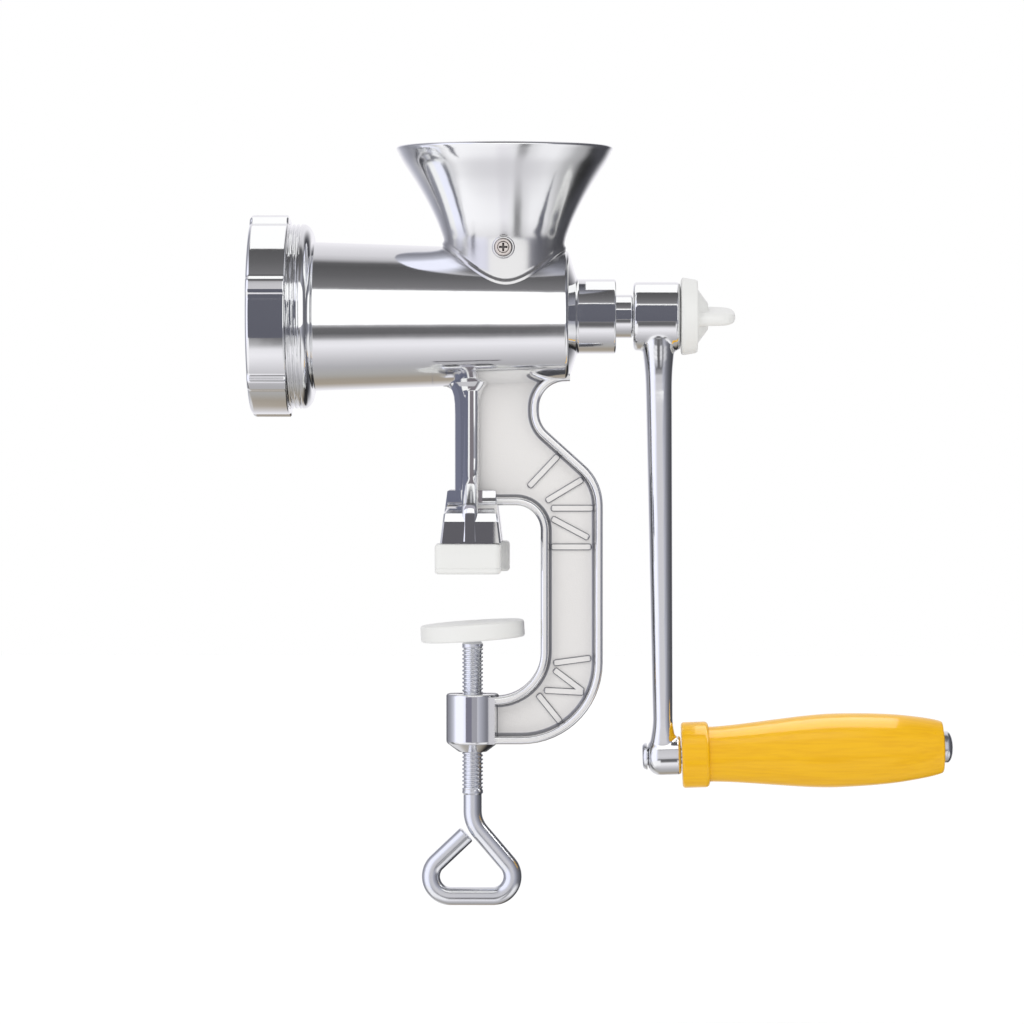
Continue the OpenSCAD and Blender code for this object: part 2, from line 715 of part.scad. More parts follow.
// Steel stub in the auger's nose: a square for the knife and a round pin for the plate
module knife_spigot() color("gray") {
    along_barrel(knife_front_x) block([spigot_square, spigot_square, knife_thickness + spigot_depth]);
    along_barrel(plate_front_x) cylinder(r = spigot_pin_r, h = knife_front_x - plate_front_x);
}

// The flight is a left-handed helix whose turns widen towards the rear, swept as one closed band
module auger() color("lightgray") {
    core_end_x = disc_back_x;
    difference() {
        union() {
            lathe_x([[0, auger_front_x], [core_front_r, auger_front_x], [core_back_r, flight_back_x],
                [thrust_disc_r, flight_back_x], [thrust_disc_r, core_end_x], [journal_r, core_end_x],
                [journal_r, neck_end_x], [0, neck_end_x]]);
            along_barrel(neck_end_x) block([drive_square, drive_square, drive_length]);
            flight();
        }
        along_barrel(auger_front_x - overrun)
            block([spigot_square + 2 * seat_gap, spigot_square + 2 * seat_gap,
                spigot_depth + seat_gap + overrun]);
        along_barrel(drive_end_x - stud_reach - face_gap)
            cylinder(r = stud_r + fit_gap, h = stud_reach + face_gap + overrun);
    }
}

flight_steps = 28;
function flight_x(t) =
    auger_front_x + flight_root / 2
        + (flight_back_x - auger_front_x - flight_root) * (t - flight_spread * t * (1 - t));

module flight() {
    steps = ceil(flight_turns * flight_steps);
    sink = core_back_r / 4;
    points = [for (i = [0:steps])
        let (t = i / steps, x = flight_x(t), a = 90 - 360 * flight_turns * t,
            core = core_front_r + (core_back_r - core_front_r) * t - sink,
            tip = bore_r(x) - flight_gap)
        for (p = [[core, -flight_root / 2], [tip, -flight_tip / 2], [tip, flight_tip / 2], [core,
            flight_root / 2]])
            [x + p.y, p.x * cos(a), barrel_axis_z + p.x * sin(a)]];
    sides = [for (i = [0:steps - 1], k = [0:3])
        let (a = 4 * i + k, b = 4 * i + (k + 1) % 4) each [[a, a + 4, b], [b, a + 4, b + 4]]];
    last = 4 * steps;
    polyhedron(points, concat([[0, 1, 2, 3], [last + 3, last + 2, last + 1, last]], sides));
}

module thrust_washer() color("ivory") {
    along_barrel(disc_back_x) ring(washer_r, journal_r + seat_gap, washer_thickness);
}

module crank_arm() color("silver") {
    arm_length = norm([arm_lean, crank_throw]);
    root_length = hub_edge * 3;
    half_boss = spindle_boss_length / 2;
    difference() {
        union() {
            lathe_x([[0, hub_x], [hub_r - hub_edge, hub_x], [hub_r, hub_x + hub_edge], [hub_r,
                hub_end_x - hub_edge],
                [hub_r - hub_edge, hub_end_x], [0, hub_end_x]]);
            translate([spindle_x, 0, spindle_z]) rotate([0, -atan(arm_lean / crank_throw), 0])
                scale([1, arm_depth_share, 1]) {
                    cylinder(r1 = arm_bottom_r, r2 = arm_top_r, h = arm_length);
                    cylinder(r1 = arm_bottom_r * arm_foot_share, r2 = arm_bottom_r, h = arm_foot_length);
                    translate([0, 0, arm_length - hub_r - root_length + hub_edge])
                        cylinder(r1 = arm_bottom_r, r2 = arm_top_r * arm_root_share, h = root_length);
                }
            along_spindle() rotate_extrude() polygon(concat(
                [[0, -half_boss]], arc([rivet_r, 0], spindle_boss_r - rivet_r, half_boss, -90, 0),
                [[spindle_boss_r, half_boss - hub_edge], [spindle_boss_r - hub_edge, half_boss], [0,
                    half_boss]]));
        }
        along_barrel(hub_x - overrun)
            block([drive_square + 2 * fit_gap, drive_square + 2 * fit_gap, hub_length + 2 * overrun]);
        along_spindle(-half_boss - overrun) cylinder(r = spindle_r + seat_gap,
            h = spindle_boss_length + 2 * overrun);
    }
}

module grip_spindle() color("gainsboro") {
    half_boss = spindle_boss_length / 2;
    shank = spindle_boss_length + grip_start - half_boss + grip_length + face_gap + cap_height / 2;
    along_spindle(-half_boss) cylinder(r = spindle_r, h = shank);
    along_spindle(-half_boss - rivet_height) rotate_extrude()
        polygon(concat([[0, 0]], arc([rivet_r - rivet_height, rivet_height], rivet_height, rivet_height,
            -90, 0),
            [[0, rivet_height]]));
}

module grip_end_cap() color("gainsboro") {
    base = cap_height / 3;
    along_spindle(grip_start + grip_length + face_gap) difference() {
        rotate_extrude() polygon(concat([[0, 0], [cap_r, 0]], arc([0, base], cap_r, cap_height - base, 0,
            90)));
        translate([0, 0, -overrun]) cylinder(r = spindle_r + seat_gap,
            h = cap_height / 2 + seat_gap + overrun);
    }
}

// Places along the grip as shares of its length behind the collar, with radii between neck and swell
belly_shares = [[0.03, 0.24], [0.06, 0.11], [0.09, 0.04], [0.13, 0], [0.2, 0.04], [0.26, 0.15], [0.33, 0.33],
    [0.4, 0.55], [0.47, 0.76], [0.54, 0.94], [0.6, 0.99], [0.67, 1], [0.74, 0.95], [0.81, 0.84], [0.88, 0.65],
    [0.95, 0.34]];

module grip() color("gold") {
    edge = grip_collar_length / 8;
    body = grip_length - grip_collar_length;
    end_round = grip_end_r / 4;
    along_spindle(grip_start) difference() {
        rotate_extrude() polygon(concat(
            [[0, 0], [grip_collar_r - edge, 0], [grip_collar_r, edge], [grip_collar_r,
                grip_collar_length - edge],
                [grip_collar_r - edge, grip_collar_length]],
            [for (s = belly_shares)
                [grip_neck_r + (grip_swell_r - grip_neck_r) * s[1], grip_collar_length + body * s[0]]],
            arc([grip_end_r - end_round, grip_length - end_round], end_round, end_round, 0, 90), [[0,
                grip_length]]));
        translate([0, 0, -overrun]) cylinder(r = spindle_r + fit_gap, h = grip_length + 2 * overrun);
    }
}

module thumb_knob() color("whitesmoke") {
    edge = knob_thickness / 6;
    wing_start_r = wing_thickness;
    along_barrel(knob_x) rotate([0, 0, wing_turn]) difference() {
        union() {
            rotate_extrude() polygon([[0, 0], [knob_r - edge, 0], [knob_r, edge],
                [knob_outer_r, knob_thickness - edge], [knob_outer_r - edge, knob_thickness],
                [knob_cone_r, knob_thickness], [wing_start_r, knob_thickness + knob_cone_length],
                [0, knob_thickness + knob_cone_length]]);
            intersection() {
                rotate([90, 0, 0]) translate([0, knob_thickness / 2, -wing_width / 2])
                    linear_extrude(wing_width) wing_side();
                rotate([0, 90, 0]) translate([-knob_thickness / 2, 0, -wing_thickness / 2])
                    linear_extrude(wing_thickness) wing_face();
            }
        }
        translate([0, 0, -overrun]) cylinder(r = stud_r + seat_gap, h = knob_thickness + overrun);
    }
}

// The wing seen from its edge, with a round tip
module wing_side() {
    reach = wing_length + knob_thickness / 2 - wing_thickness / 2;
    translate([-wing_thickness / 2, 0]) square([wing_thickness, reach]);
    translate([0, reach]) circle(r = wing_thickness / 2);
}

// The wing seen flat, with rounded corners
module wing_face() {
    reach = wing_length + knob_thickness / 2;
    corner = wing_width / 4;
    polygon(rounded([[0, -wing_width / 2, 0], [0, wing_width / 2, 0],
        [-reach, wing_width / 2, corner], [-reach, -wing_width / 2, corner]]));
}

module thumb_stud() color("gray") {
    along_barrel(drive_end_x - stud_reach)
        cylinder(r = stud_r, h = knob_x + knob_thickness - seat_gap - drive_end_x + stud_reach);
}

// Outline of the C-shaped frame in the XZ plane, counterclockwise from the screw boss
frame_corners = [
    [0, boss_bottom_z - seat_gap, 0],
    [frame_back_x, boss_bottom_z - seat_gap, heel_round],
    [frame_back_x, shoulder_z, shoulder_round],
    [neck_back_x, neck_low_z, neck_round],
    [neck_back_x, barrel_axis_z - barrel_back_r, neck_top_round],
    [neck_back_x + barrel_back_r / 2, barrel_axis_z - barrel_back_r, 0],
    [neck_back_x + barrel_back_r / 2, barrel_axis_z, 0],
    [-leg_front - leg_flare, barrel_axis_z, 0],
    [-leg_front - leg_flare, barrel_axis_z - barrel_front_r + rim_width / 2, 0],
    [-leg_front, barrel_axis_z - barrel_front_r + rim_width / 2, leg_flare - rim_width / 3],
    [-leg_front, opening_top_z, 0],
    [opening_back_x, opening_top_z, opening_top_round],
    [opening_back_x, boss_top_z - rim_width / 3, opening_low_round],
    [0, boss_top_z - rim_width / 3, 0]];

// Embossed ribs: start as shares of the back limb's width from the opening's corner, angle, length share
upper_rib_shares = [[-0.2, 0.29, 46.7, 0.71], [0.08, 0.06, 31, 0.7], [0.16, -0.05, 0, 0.69], [0.17, -0.21,
    -28, 0.69],
    [0.16, -0.675, 0, 0.66]];
lower_rib_shares = [[0.2, 0.5, 7.7, 0.62], [0.265, 0.38, -37, 0.54], [0.05, 0.06, -3, 0.65], [-0.05, 0, -51,
    0.59]];

module frame_plate(corners, thickness) {
    rotate([90, 0, 0]) translate([0, 0, -thickness / 2]) linear_extrude(thickness) polygon(rounded(corners));
}

module embossed_ribs(corner, rib_shares) {
    limb = frame_back_x - opening_back_x;
    for (s = rib_shares) translate([corner.x + s[0] * limb, 0, corner.y + s[1] * limb]) rotate([0, -s[2], 0])
        translate([0, -web_thickness / 2 - rib_height, -rib_width / 2])
            cube([s[3] * limb, web_thickness + 2 * rib_height, rib_width]);
}

module clamp_frame() color("lightgray") {
    leg_x = leg_width / 2 - leg_front;
    leg_top = barrel_axis_z - opening_top_z;
    pocket = inset(frame_corners, rim_width);
    difference() {
        union() {
            difference() {
                frame_plate(frame_corners, rim_depth);
                for (side = [-1, 1]) translate([0, side * (web_thickness + rim_depth) / 2, 0]) {
                    frame_plate(pocket, rim_depth);
                    translate([leg_x - leg_width, 0, opening_top_z + rim_width])
                        block([2 * leg_width, rim_depth, leg_top - barrel_back_r - 2 * rim_width]);
                }
            }
            intersection() {
                union() {
                    embossed_ribs([opening_back_x, opening_top_z], upper_rib_shares);
                    embossed_ribs([opening_back_x, boss_top_z], lower_rib_shares);
                }
                frame_plate(inset(frame_corners, rim_width / 2), rim_depth);
            }
            for (side = [-1, 1]) translate([leg_x, side * (rim_depth - leg_width) / 2, opening_top_z])
                cylinder(r = leg_width / 2, h = leg_top);
            translate([leg_x, 0, opening_top_z]) block([leg_width, rim_depth - leg_width, leg_top]);
            jaw_foot();
            translate([0, 0, boss_bottom_z]) cylinder(r = screw_boss_r, h = screw_boss_length);
            translate([0, 0, boss_bottom_z - boss_cone_length])
                cylinder(r1 = boss_cone_r, r2 = screw_boss_r, h = boss_cone_length);
            translate([boss_block / 2, 0, boss_bottom_z])
                block([boss_block, rim_depth, screw_boss_length - rim_width / 3]);
        }
        barrel_taper(seat_gap);
        lathe_x([[0, barrel_end_x], [barrel_back_r + seat_gap, barrel_end_x],
            [bearing_boss_r + seat_gap, boss_start_x], [0, boss_start_x]]);
        translate([0, 0, boss_bottom_z - boss_cone_length - overrun])
            cylinder(r = screw_r + fit_gap, h = screw_boss_length + boss_cone_length + 2 * overrun);
    }
}

// The leg spreads into a foot along Y, with a gusset in its middle and a lug down into each pad
module jaw_foot() {
    half_span = foot_span / 2;
    sweep_y = half_span - leg_width;
    toe_z = foot_bottom_z + toe_thickness;
    lug = [pad_length - 2 * (pad_wall + seat_gap), pad_width - 2 * (pad_wall + seat_gap),
        foot_bottom_z - pad_sole - seat_gap];
    lug_root = toe_thickness / 3;
    intersection() {
        rotate([90, 0, 90]) translate([0, 0, -foot_width]) linear_extrude(2 * foot_width) polygon(concat(
            [[-half_span, foot_bottom_z], [half_span, foot_bottom_z]],
            arc([half_span, foot_top_z], sweep_y, foot_top_z - toe_z, -90, -180),
            arc([-half_span, foot_top_z], sweep_y, foot_top_z - toe_z, 0, -90)));
        rotate([90, 0, 0]) translate([0, 0, -foot_span]) linear_extrude(2 * foot_span)
            polygon([[foot_offset - foot_width / 2, foot_bottom_z], [foot_offset + foot_width / 2,
                foot_bottom_z],
                [foot_offset + foot_top_width / 2, foot_top_z], [foot_offset - foot_top_width / 2,
                    foot_top_z]]);
    }
    translate([foot_offset, 0, 0]) rotate([90, 0, 90]) translate([0, 0, -gusset_width / 2])
        linear_extrude(gusset_width) polygon([[-half_span + rim_width / 2, foot_bottom_z + rim_width],
            [half_span - rim_width / 2, foot_bottom_z + rim_width], [half_span - rim_width / 2, toe_z],
            [leg_width, foot_top_z + rim_width], [-leg_width, foot_top_z + rim_width],
            [-half_span + rim_width / 2, toe_z]]);
    for (side = [-1, 1]) translate([pad_x(side), side * pad_centre_y, pad_sole + seat_gap])
        block([lug.x, lug.y, lug.z + lug_root]);
}

module upper_pad(side) {
    pocket = [pad_length - 2 * pad_wall, pad_width - 2 * pad_wall, pad_height];
    translate([pad_x(side), side * pad_centre_y, 0]) difference() {
        linear_extrude(pad_height) polygon(rounded([for (c = [[-1, -1], [1, -1], [1, 1], [-1, 1]])
            [c.x * pad_length / 2, c.y * pad_width / 2, pad_wall]]));
        translate([0, 0, pad_sole]) block(pocket);
    }
}

module upper_pad_near() color("white") upper_pad(-1);
module upper_pad_far() color("white") upper_pad(1);

// Bends a round rod: each step is ["run", length] or ["bend", radius, angle], positive towards local +X.
// A ball, a hair fatter than the rod, joins each run to its bend.
module bent_rod(r, steps, i = 0) {
    if (i < len(steps)) {
        if (i > 0) sphere(r = r + rod_knuckle);
        if (steps[i][0] == "run") {
            last = i == len(steps) - 1 ? 0 : rod_knuckle;
            translate([0, 0, rod_knuckle]) cylinder(r = r, h = steps[i][1] - rod_knuckle - last);
            translate([0, 0, steps[i][1]]) bent_rod(r, steps, i + 1);
        } else {
            turn = steps[i][2];
            centre = [sign(turn) * steps[i][1], 0, 0];
            mirror([turn < 0 ? 1 : 0, 0, 0]) translate([steps[i][1], 0, 0]) rotate([90, 0, 180])
                rotate_extrude(angle = abs(turn)) translate([steps[i][1], 0]) circle(r = r);
            translate(centre) rotate([0, turn, 0]) translate(-centre) bent_rod(r, steps, i + 1);
        }
    }
}

module clamp_screw() color("gainsboro") {
    difference() {
        translate([0, 0, screw_thread_end_z]) rotate_extrude()
            polygon(concat([[0, 0], [screw_r - screw_depth, 0]],
                thread_points(screw_r, screw_depth, 0, screw_thread_length - screw_pitch, screw_pitch),
                [[screw_r - screw_depth, screw_thread_length], [0, screw_thread_length]]));
        translate([0, 0, screw_top_z - swivel_length - 2 * face_gap])
            cylinder(r = swivel_r + fit_gap, h = swivel_length + 2 * face_gap + overrun);
    }
    translate([0, 0, screw_thread_end_z + rod_r]) rotate([180, 0, 0]) bent_rod(rod_r, [["run",
        rod_drop + rod_r],
        ["bend", loop_entry_bend, loop_lean], ["run", loop_run], ["bend", loop_corner_bend, -90 - loop_lean],
        ["run", loop_base], ["bend", loop_corner_bend, -loop_closing_turn], ["run", loop_closing_run]]);
}

module swivel_pin() color("gray") {
    translate([0, 0, ball_z]) sphere(r = ball_r);
    translate([0, 0, screw_top_z - swivel_length]) cylinder(r = swivel_r,
        h = ball_z - screw_top_z + swivel_length);
}

// The pad snaps over the ball; a cone under the socket lets it tilt about the pin's neck
module clamp_pad() color("white") {
    edge = clamp_pad_thickness / 8;
    half = clamp_pad_thickness / 2;
    mouth = half + overrun;
    translate([0, 0, ball_z]) rotate([0, -clamp_pad_tilt, 0]) difference() {
        rotate_extrude() polygon([[0, -half], [clamp_pad_r - edge, -half], [clamp_pad_r, edge - half],
            [clamp_pad_r, half - edge], [clamp_pad_r - edge, half], [0, half + clamp_pad_crown]]);
        sphere(r = ball_r + fit_gap);
        translate([0, 0, -mouth]) cylinder(h = mouth,
            r1 = (swivel_r + face_gap) / cos(clamp_pad_swing) + mouth * tan(clamp_pad_swing + clamp_pad_tilt),
            r2 = (swivel_r + face_gap) / cos(clamp_pad_swing));
    }
}

barrel();
clamp_frame();
hopper();
hopper_screws();
rear_bush();
plate_key();
upper_pad_near();
upper_pad_far();
auger();
thrust_washer();
knife_spigot();
cross_knife();
grinding_plate();
ring_nut();
crank_arm();
grip_spindle();
grip_end_cap();
grip();
thumb_knob();
thumb_stud();
swivel_pin();
clamp_screw();
clamp_pad();
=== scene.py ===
# %% [markdown]
# # A hand-cranked meat grinder
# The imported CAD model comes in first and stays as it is: it says where every piece sits and which
# body carries it. Each visible casting is then built again with the soft edges and the threads that
# a real one has, and every piece gets a finish made of nodes.

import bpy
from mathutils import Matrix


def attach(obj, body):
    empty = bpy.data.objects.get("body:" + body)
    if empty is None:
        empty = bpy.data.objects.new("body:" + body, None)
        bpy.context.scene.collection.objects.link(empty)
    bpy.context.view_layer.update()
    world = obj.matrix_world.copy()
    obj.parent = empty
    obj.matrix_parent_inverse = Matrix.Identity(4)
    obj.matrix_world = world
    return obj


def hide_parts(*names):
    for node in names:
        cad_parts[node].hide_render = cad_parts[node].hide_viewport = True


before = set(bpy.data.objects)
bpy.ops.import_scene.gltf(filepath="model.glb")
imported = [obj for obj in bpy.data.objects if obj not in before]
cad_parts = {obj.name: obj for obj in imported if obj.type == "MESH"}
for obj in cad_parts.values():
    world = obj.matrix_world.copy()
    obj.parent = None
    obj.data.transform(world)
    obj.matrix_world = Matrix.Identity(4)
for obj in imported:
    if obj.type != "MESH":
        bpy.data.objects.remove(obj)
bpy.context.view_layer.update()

# %% [markdown]
# The sizes below are millimetres, as on the drawing of the grinder, and Blender works in metres,
# so every point is scaled once, where a mesh is made. A lathe outline is a list of
# (radius, place along the axis), and a corner with a rounding becomes a short arc, because no edge
# on a casting is truly sharp.

# %% Tools for outlines
import math

import bmesh
import bpy
from mathutils import Matrix, Vector

MM = 0.001
STEPS = 192
MERGE = 1e-7


def smooth(value):
    """0 below 0, 1 above 1 and an even S between."""
    value = min(1.0, max(0.0, value))
    return value * value * (3 - 2 * value)


def mix(a, b, share):
    return a + (b - a) * share


def rounded(corners, closed=True, step=math.radians(15)):
    """Corners are (x, y) or (x, y, radius); each radius becomes an arc that meets both edges."""
    points = []
    for i, corner in enumerate(corners):
        here = Vector(corner[:2])
        radius = corner[2] if len(corner) > 2 else 0
        if radius == 0 or (not closed and i in (0, len(corners) - 1)):
            points.append(tuple(here))
            continue
        before = (Vector(corners[i - 1][:2]) - here).normalized()
        after = (Vector(corners[(i + 1) % len(corners)][:2]) - here).normalized()
        half = before.angle(after) / 2
        centre = here + (before + after).normalized() * radius / math.sin(half)
        start = here + before * radius / math.tan(half) - centre
        turn = (math.pi - 2 * half) * (1 if before.x * after.y - before.y * after.x < 0 else -1)
        count = max(2, math.ceil(abs(turn) / step))
        for k in range(count + 1):
            spoke = Matrix.Rotation(turn * k / count, 2) @ start
            points.append(tuple(centre + spoke))
    return points


def box(half_u, half_v, radius=0):
    """The outline of a box about the origin."""
    return rounded([(u * half_u, v * half_v, radius) for u, v in ((-1, -1), (1, -1), (1, 1), (-1, 1))])


def arc(centre, reach, start, step, count):
    """Points of an ellipse, at every step of degrees from start."""
    angles = [math.radians(start + step * k) for k in range(count)]
    return [(centre[0] + reach[0] * math.cos(a), centre[1] + reach[1] * math.sin(a)) for a in angles]


def curve(table, at):
    """The value at a place, on a smooth curve through a table of (place, value)."""
    if at <= table[0][0]:
        return table[0][1]
    for i in range(len(table) - 1):
        (a, first), (b, second) = table[i], table[i + 1]
        if at <= b:
            before, after = table[max(i - 1, 0)], table[min(i + 2, len(table) - 1)]
            rise = (second - before[1]) / (b - before[0]) * (b - a)
            next_rise = (after[1] - first) / (after[0] - a) * (b - a)
            t = (at - a) / (b - a)
            return ((2 * t**3 - 3 * t**2 + 1) * first + (t**3 - 2 * t**2 + t) * rise
                    + (3 * t**2 - 2 * t**3) * second + (t**3 - t**2) * next_rise)
    return table[-1][1]


print("a box with round corners has", len(box(2, 1, 0.4)), "points")

# %% [markdown]
# A piece made by turning, sweeping or lofting is a stack of rings with faces between them. One
# function skins such a stack, and `lathe` and `sweep` only work out the rings. Doubles are merged
# and the normals are turned outwards straight away, then faces are smoothed up to an angle, so that
# round parts shine evenly and edges stay crisp.

# %% Tools for meshes


def show(name, data):
    """A new object at the origin of the scene."""
    thing = bpy.data.objects.new(name, data)
    bpy.context.scene.collection.objects.link(thing)
    return thing


def new_piece(name, points, faces):
    """A mesh object from points in millimetres."""
    mesh = bpy.data.meshes.new(name)
    mesh.from_pydata([Vector(p) * MM for p in points], [], faces)
    return show(name, mesh)


def shade(piece, sharp=35):
    piece.data.shade_smooth()
    piece.data.set_sharp_from_angle(angle=math.radians(sharp))
    return piece


def close_up(piece):
    """Merges doubles and turns every face outwards."""
    work = bmesh.new()
    work.from_mesh(piece.data)
    bmesh.ops.remove_doubles(work, verts=work.verts, dist=MERGE)
    bmesh.ops.recalc_face_normals(work, faces=work.faces)
    work.to_mesh(piece.data)
    work.free()
    return shade(piece)


def skin(name, rings, loop=False, caps=False):
    """Faces between closed rings of points; loop joins the last ring to the first."""
    count = len(rings[0])
    faces = []
    for i in range(len(rings) if loop else len(rings) - 1):
        a, b = i * count, (i + 1) % len(rings) * count
        faces += [(a + k, a + (k + 1) % count, b + (k + 1) % count, b + k) for k in range(count)]
    if caps:
        last = count * (len(rings) - 1)
        faces += [tuple(range(count))[::-1], tuple(range(last, last + count))]
    return close_up(new_piece(name, [p for ring in rings for p in ring], faces))


def lathe(name, outline, place, loop=False, shape=None, steps=STEPS):
    """Turns (radius, along) points about local Z. shape(radius, along, angle) may change the radius."""
    rings = []
    for radius, along in outline:
        ring = []
        for k in range(steps):
            angle = 2 * math.pi * k / steps
            r = shape(radius, along, angle) if shape else radius
            ring.append(place @ Vector((r * math.cos(angle), r * math.sin(angle), along)))
        rings.append(ring)
    return skin(name, rings, loop=loop)


def plug(name, radius, low, high, place, steps=STEPS):
    """A plain cylinder, to cut with."""
    return lathe(name, [(0, low), (radius, low), (radius, high), (0, high)], place, steps=steps)


def ring_at(point, inwards, profile):
    """A profile of (inwards, across) points, set up at a point of a path in XZ."""
    return [(point[0] + inwards[0] * u, v, point[1] + inwards[1] * u) for u, v in profile]


def sweep(name, path, profile):
    """Carries a profile along a path of (point, inwards) pairs."""
    return skin(name, [ring_at(p, n, profile) for p, n in path], caps=True)


def slab(name, outline, low, high):
    """An outline in XZ made into a plate from low to high along Y."""
    return skin(name, [[(x, y, z) for x, z in outline] for y in (low, high)], caps=True)


def combine(piece, tools, operation="UNION"):
    """Cuts or joins solids for good and removes the tools."""
    for tool in tools:
        change = piece.modifiers.new("combine", "BOOLEAN")
        change.operation, change.solver, change.object = operation, "MANIFOLD", tool
    bake(piece)
    for tool in tools:
        bpy.data.objects.remove(tool)
    return shade(piece)


def bake(piece):
    """Replaces a piece's mesh by what its modifiers make of it."""
    result = bpy.data.meshes.new_from_object(
        piece.evaluated_get(bpy.context.evaluated_depsgraph_get()))
    piece.modifiers.clear()
    piece.data = result
    return piece


def melt(piece, voxel, passes):
    """Makes one skin of overlapping solids and softens its corners, as a mould does."""
    remesh = piece.modifiers.new("one skin", "REMESH")
    remesh.mode, remesh.voxel_size = "VOXEL", voxel * MM
    soften = piece.modifiers.new("soft corners", "SMOOTH")
    soften.factor, soften.iterations = 0.5, passes
    bake(piece)
    piece.data.shade_smooth()
    return piece


def gather(name, parts):
    """One object from several, without joining their solids."""
    work = bmesh.new()
    for part in parts:
        work.from_mesh(part.data)
        bpy.data.objects.remove(part)
    mesh = bpy.data.meshes.new(name)
    work.to_mesh(mesh)
    work.free()
    return shade(show(name, mesh))


pieces = {}


def keep(piece, body, nodes):
    """Carries the piece on its body, in place of its CAD nodes."""
    flatten = piece.modifiers.new("large faces stay flat", "WEIGHTED_NORMAL")
    flatten.keep_sharp = True
    bake(piece)
    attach(piece, body)
    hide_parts(*nodes)
    pieces[piece.name] = piece
    print(piece.name, "rides on", body, "with", len(piece.data.polygons), "faces")


# %% [markdown]
# ## Where things are
# The barrel lies along X, the hopper stands on it, and the grip turns on a spindle that tilts a
# little. A matrix for each axis lets a lathe work along its own Z.

# %% Main places
AXIS_Z = 97.2
FRONT_X = -79.8
THREAD_END_X = -64.0
TAPER_START_X, TAPER_START_R = -59.7, 28.2
TAPER_END_X, TAPER_END_R = 36.3, 24.9
HOPPER_X = 12.2
SPINDLE_X, SPINDLE_Z, SPINDLE_TILT = 72.866, -69.8, math.radians(1.86)

ALONG_BARREL = Matrix(((0, 0, 1, 0), (1, 0, 0, 0), (0, 1, 0, AXIS_Z), (0, 0, 0, 1)))
UP_HOPPER = Matrix.Translation((HOPPER_X, 0, AXIS_Z))
ALONG_SPINDLE = (Matrix.Translation((SPINDLE_X, 0, SPINDLE_Z))
                 @ Matrix.Rotation(math.pi / 2 - SPINDLE_TILT, 4, "Y"))
UPRIGHT = Matrix.Identity(4)


def barrel_radius(x):
    share = (x - TAPER_START_X) / (TAPER_END_X - TAPER_START_X)
    return mix(TAPER_START_R, TAPER_END_R, share)


print("barrel radius under the hopper:", round(barrel_radius(HOPPER_X), 2), "mm")

# %% [markdown]
# ## The barrel
# The real barrel is cast with its hopper collar, then turned and polished. A lathe gives all of it
# but the thread and the feed grooves, and those need only a radius that changes with the angle: the
# thread's crest moves forward by one pitch for each turn, and a groove is a short dip. The throat
# is cut afterwards with a solid, and the collar is joined in the same way.

# %% Barrel
THREAD_R, THREAD_PITCH, THREAD_DEPTH = 35.0, 1.6, 0.8
BORE_WALL = 3.5
CHAMBER_R = 31.06
COLLAR_R, THROAT_R = 20.2, 17.8
REAR_R, BUSH_R = 14.1, 10.51
GROOVES, GROOVE_WIDTH, GROOVE_DEPTH = 4, 3.0, 0.9


def thread_dip(x, angle, pitch, depth):
    """How far a right-handed thread lies below its crest."""
    phase = (x / pitch - angle / (2 * math.pi)) % 1
    return depth * smooth(abs(2 * phase - 1) * 1.7 - 0.45)


def barrel_shape(radius, x, angle):
    if radius > THREAD_R - 0.01 and x < THREAD_END_X:
        fade = smooth((THREAD_END_X - x) / 1.2) * smooth((x - FRONT_X) / 0.8)
        return radius - thread_dip(x, angle, THREAD_PITCH, THREAD_DEPTH) * fade
    if 20 < radius < 25 and -62 < x < 33:
        turn = 2 * math.pi / GROOVES
        off = abs((angle + turn / 2) % turn - turn / 2) * radius
        return radius + GROOVE_DEPTH * smooth((GROOVE_WIDTH / 2 - off) / 0.5 + 0.5)
    return radius


threads = [(THREAD_R, mix(FRONT_X, THREAD_END_X, k / 100)) for k in range(3, 101)]
outer = rounded([
    (CHAMBER_R, FRONT_X, 0.3), (34.6, FRONT_X, 0.2), (THREAD_R, FRONT_X + 0.4)], closed=False)[1:-1]
shoulder = arc((TAPER_START_R + 0.9, THREAD_END_X), (5.9, 3.9), 7.5, 7.5, 11)
back = rounded([
    (TAPER_START_R + 0.9, THREAD_END_X + 3.9), (TAPER_START_R, THREAD_END_X + 4.4, 0.6),
    (TAPER_END_R, TAPER_END_X, 1.6), (REAR_R, 39.7, 1.2), (REAR_R, 54.5, 0.8), (BUSH_R, 54.5, 0.3),
    (BUSH_R, 33.5, 0.3), (barrel_radius(33.5) - BORE_WALL, 33.5, 2),
    (barrel_radius(-64.5) - BORE_WALL, -64.5, 0.5), (CHAMBER_R, -68.0, 0.4),
    (CHAMBER_R, FRONT_X + 0.3)], closed=False)
barrel = lathe("barrel_casting", outer + threads + shoulder + back, ALONG_BARREL, loop=True,
               shape=barrel_shape)
collar = lathe("collar", rounded([(0, 10), (COLLAR_R, 10), (COLLAR_R, 30.6, 0.5), (0, 30.6)]), UP_HOPPER)
bore = lathe("bore", [(0, -62), (barrel_radius(-62) - BORE_WALL, -62),
                      (barrel_radius(30) - BORE_WALL, 30), (0, 30)], ALONG_BARREL)


def throat():
    return lathe("throat", rounded([(0, 8), (THROAT_R, 8), (THROAT_R, 32), (0, 32)]), UP_HOPPER)


combine(collar, [bore, throat()], "DIFFERENCE")
combine(barrel, [collar])
combine(barrel, [throat()], "DIFFERENCE")
keep(barrel, "frame", ["barrel"])

# %% [markdown]
# ## The hopper
# The hopper is a spun cone whose skirt drops over the collar and ends on the barrel in a saddle
# curve. A lathe can't end on such a curve, but a lathe whose lowest ring follows the barrel can:
# each ring between it and the rim takes its share of the way up. The wall flares the way the
# picture shows, steep near the skirt and more open near the rim: a table gives the share of the
# growth from skirt to rim at each height.

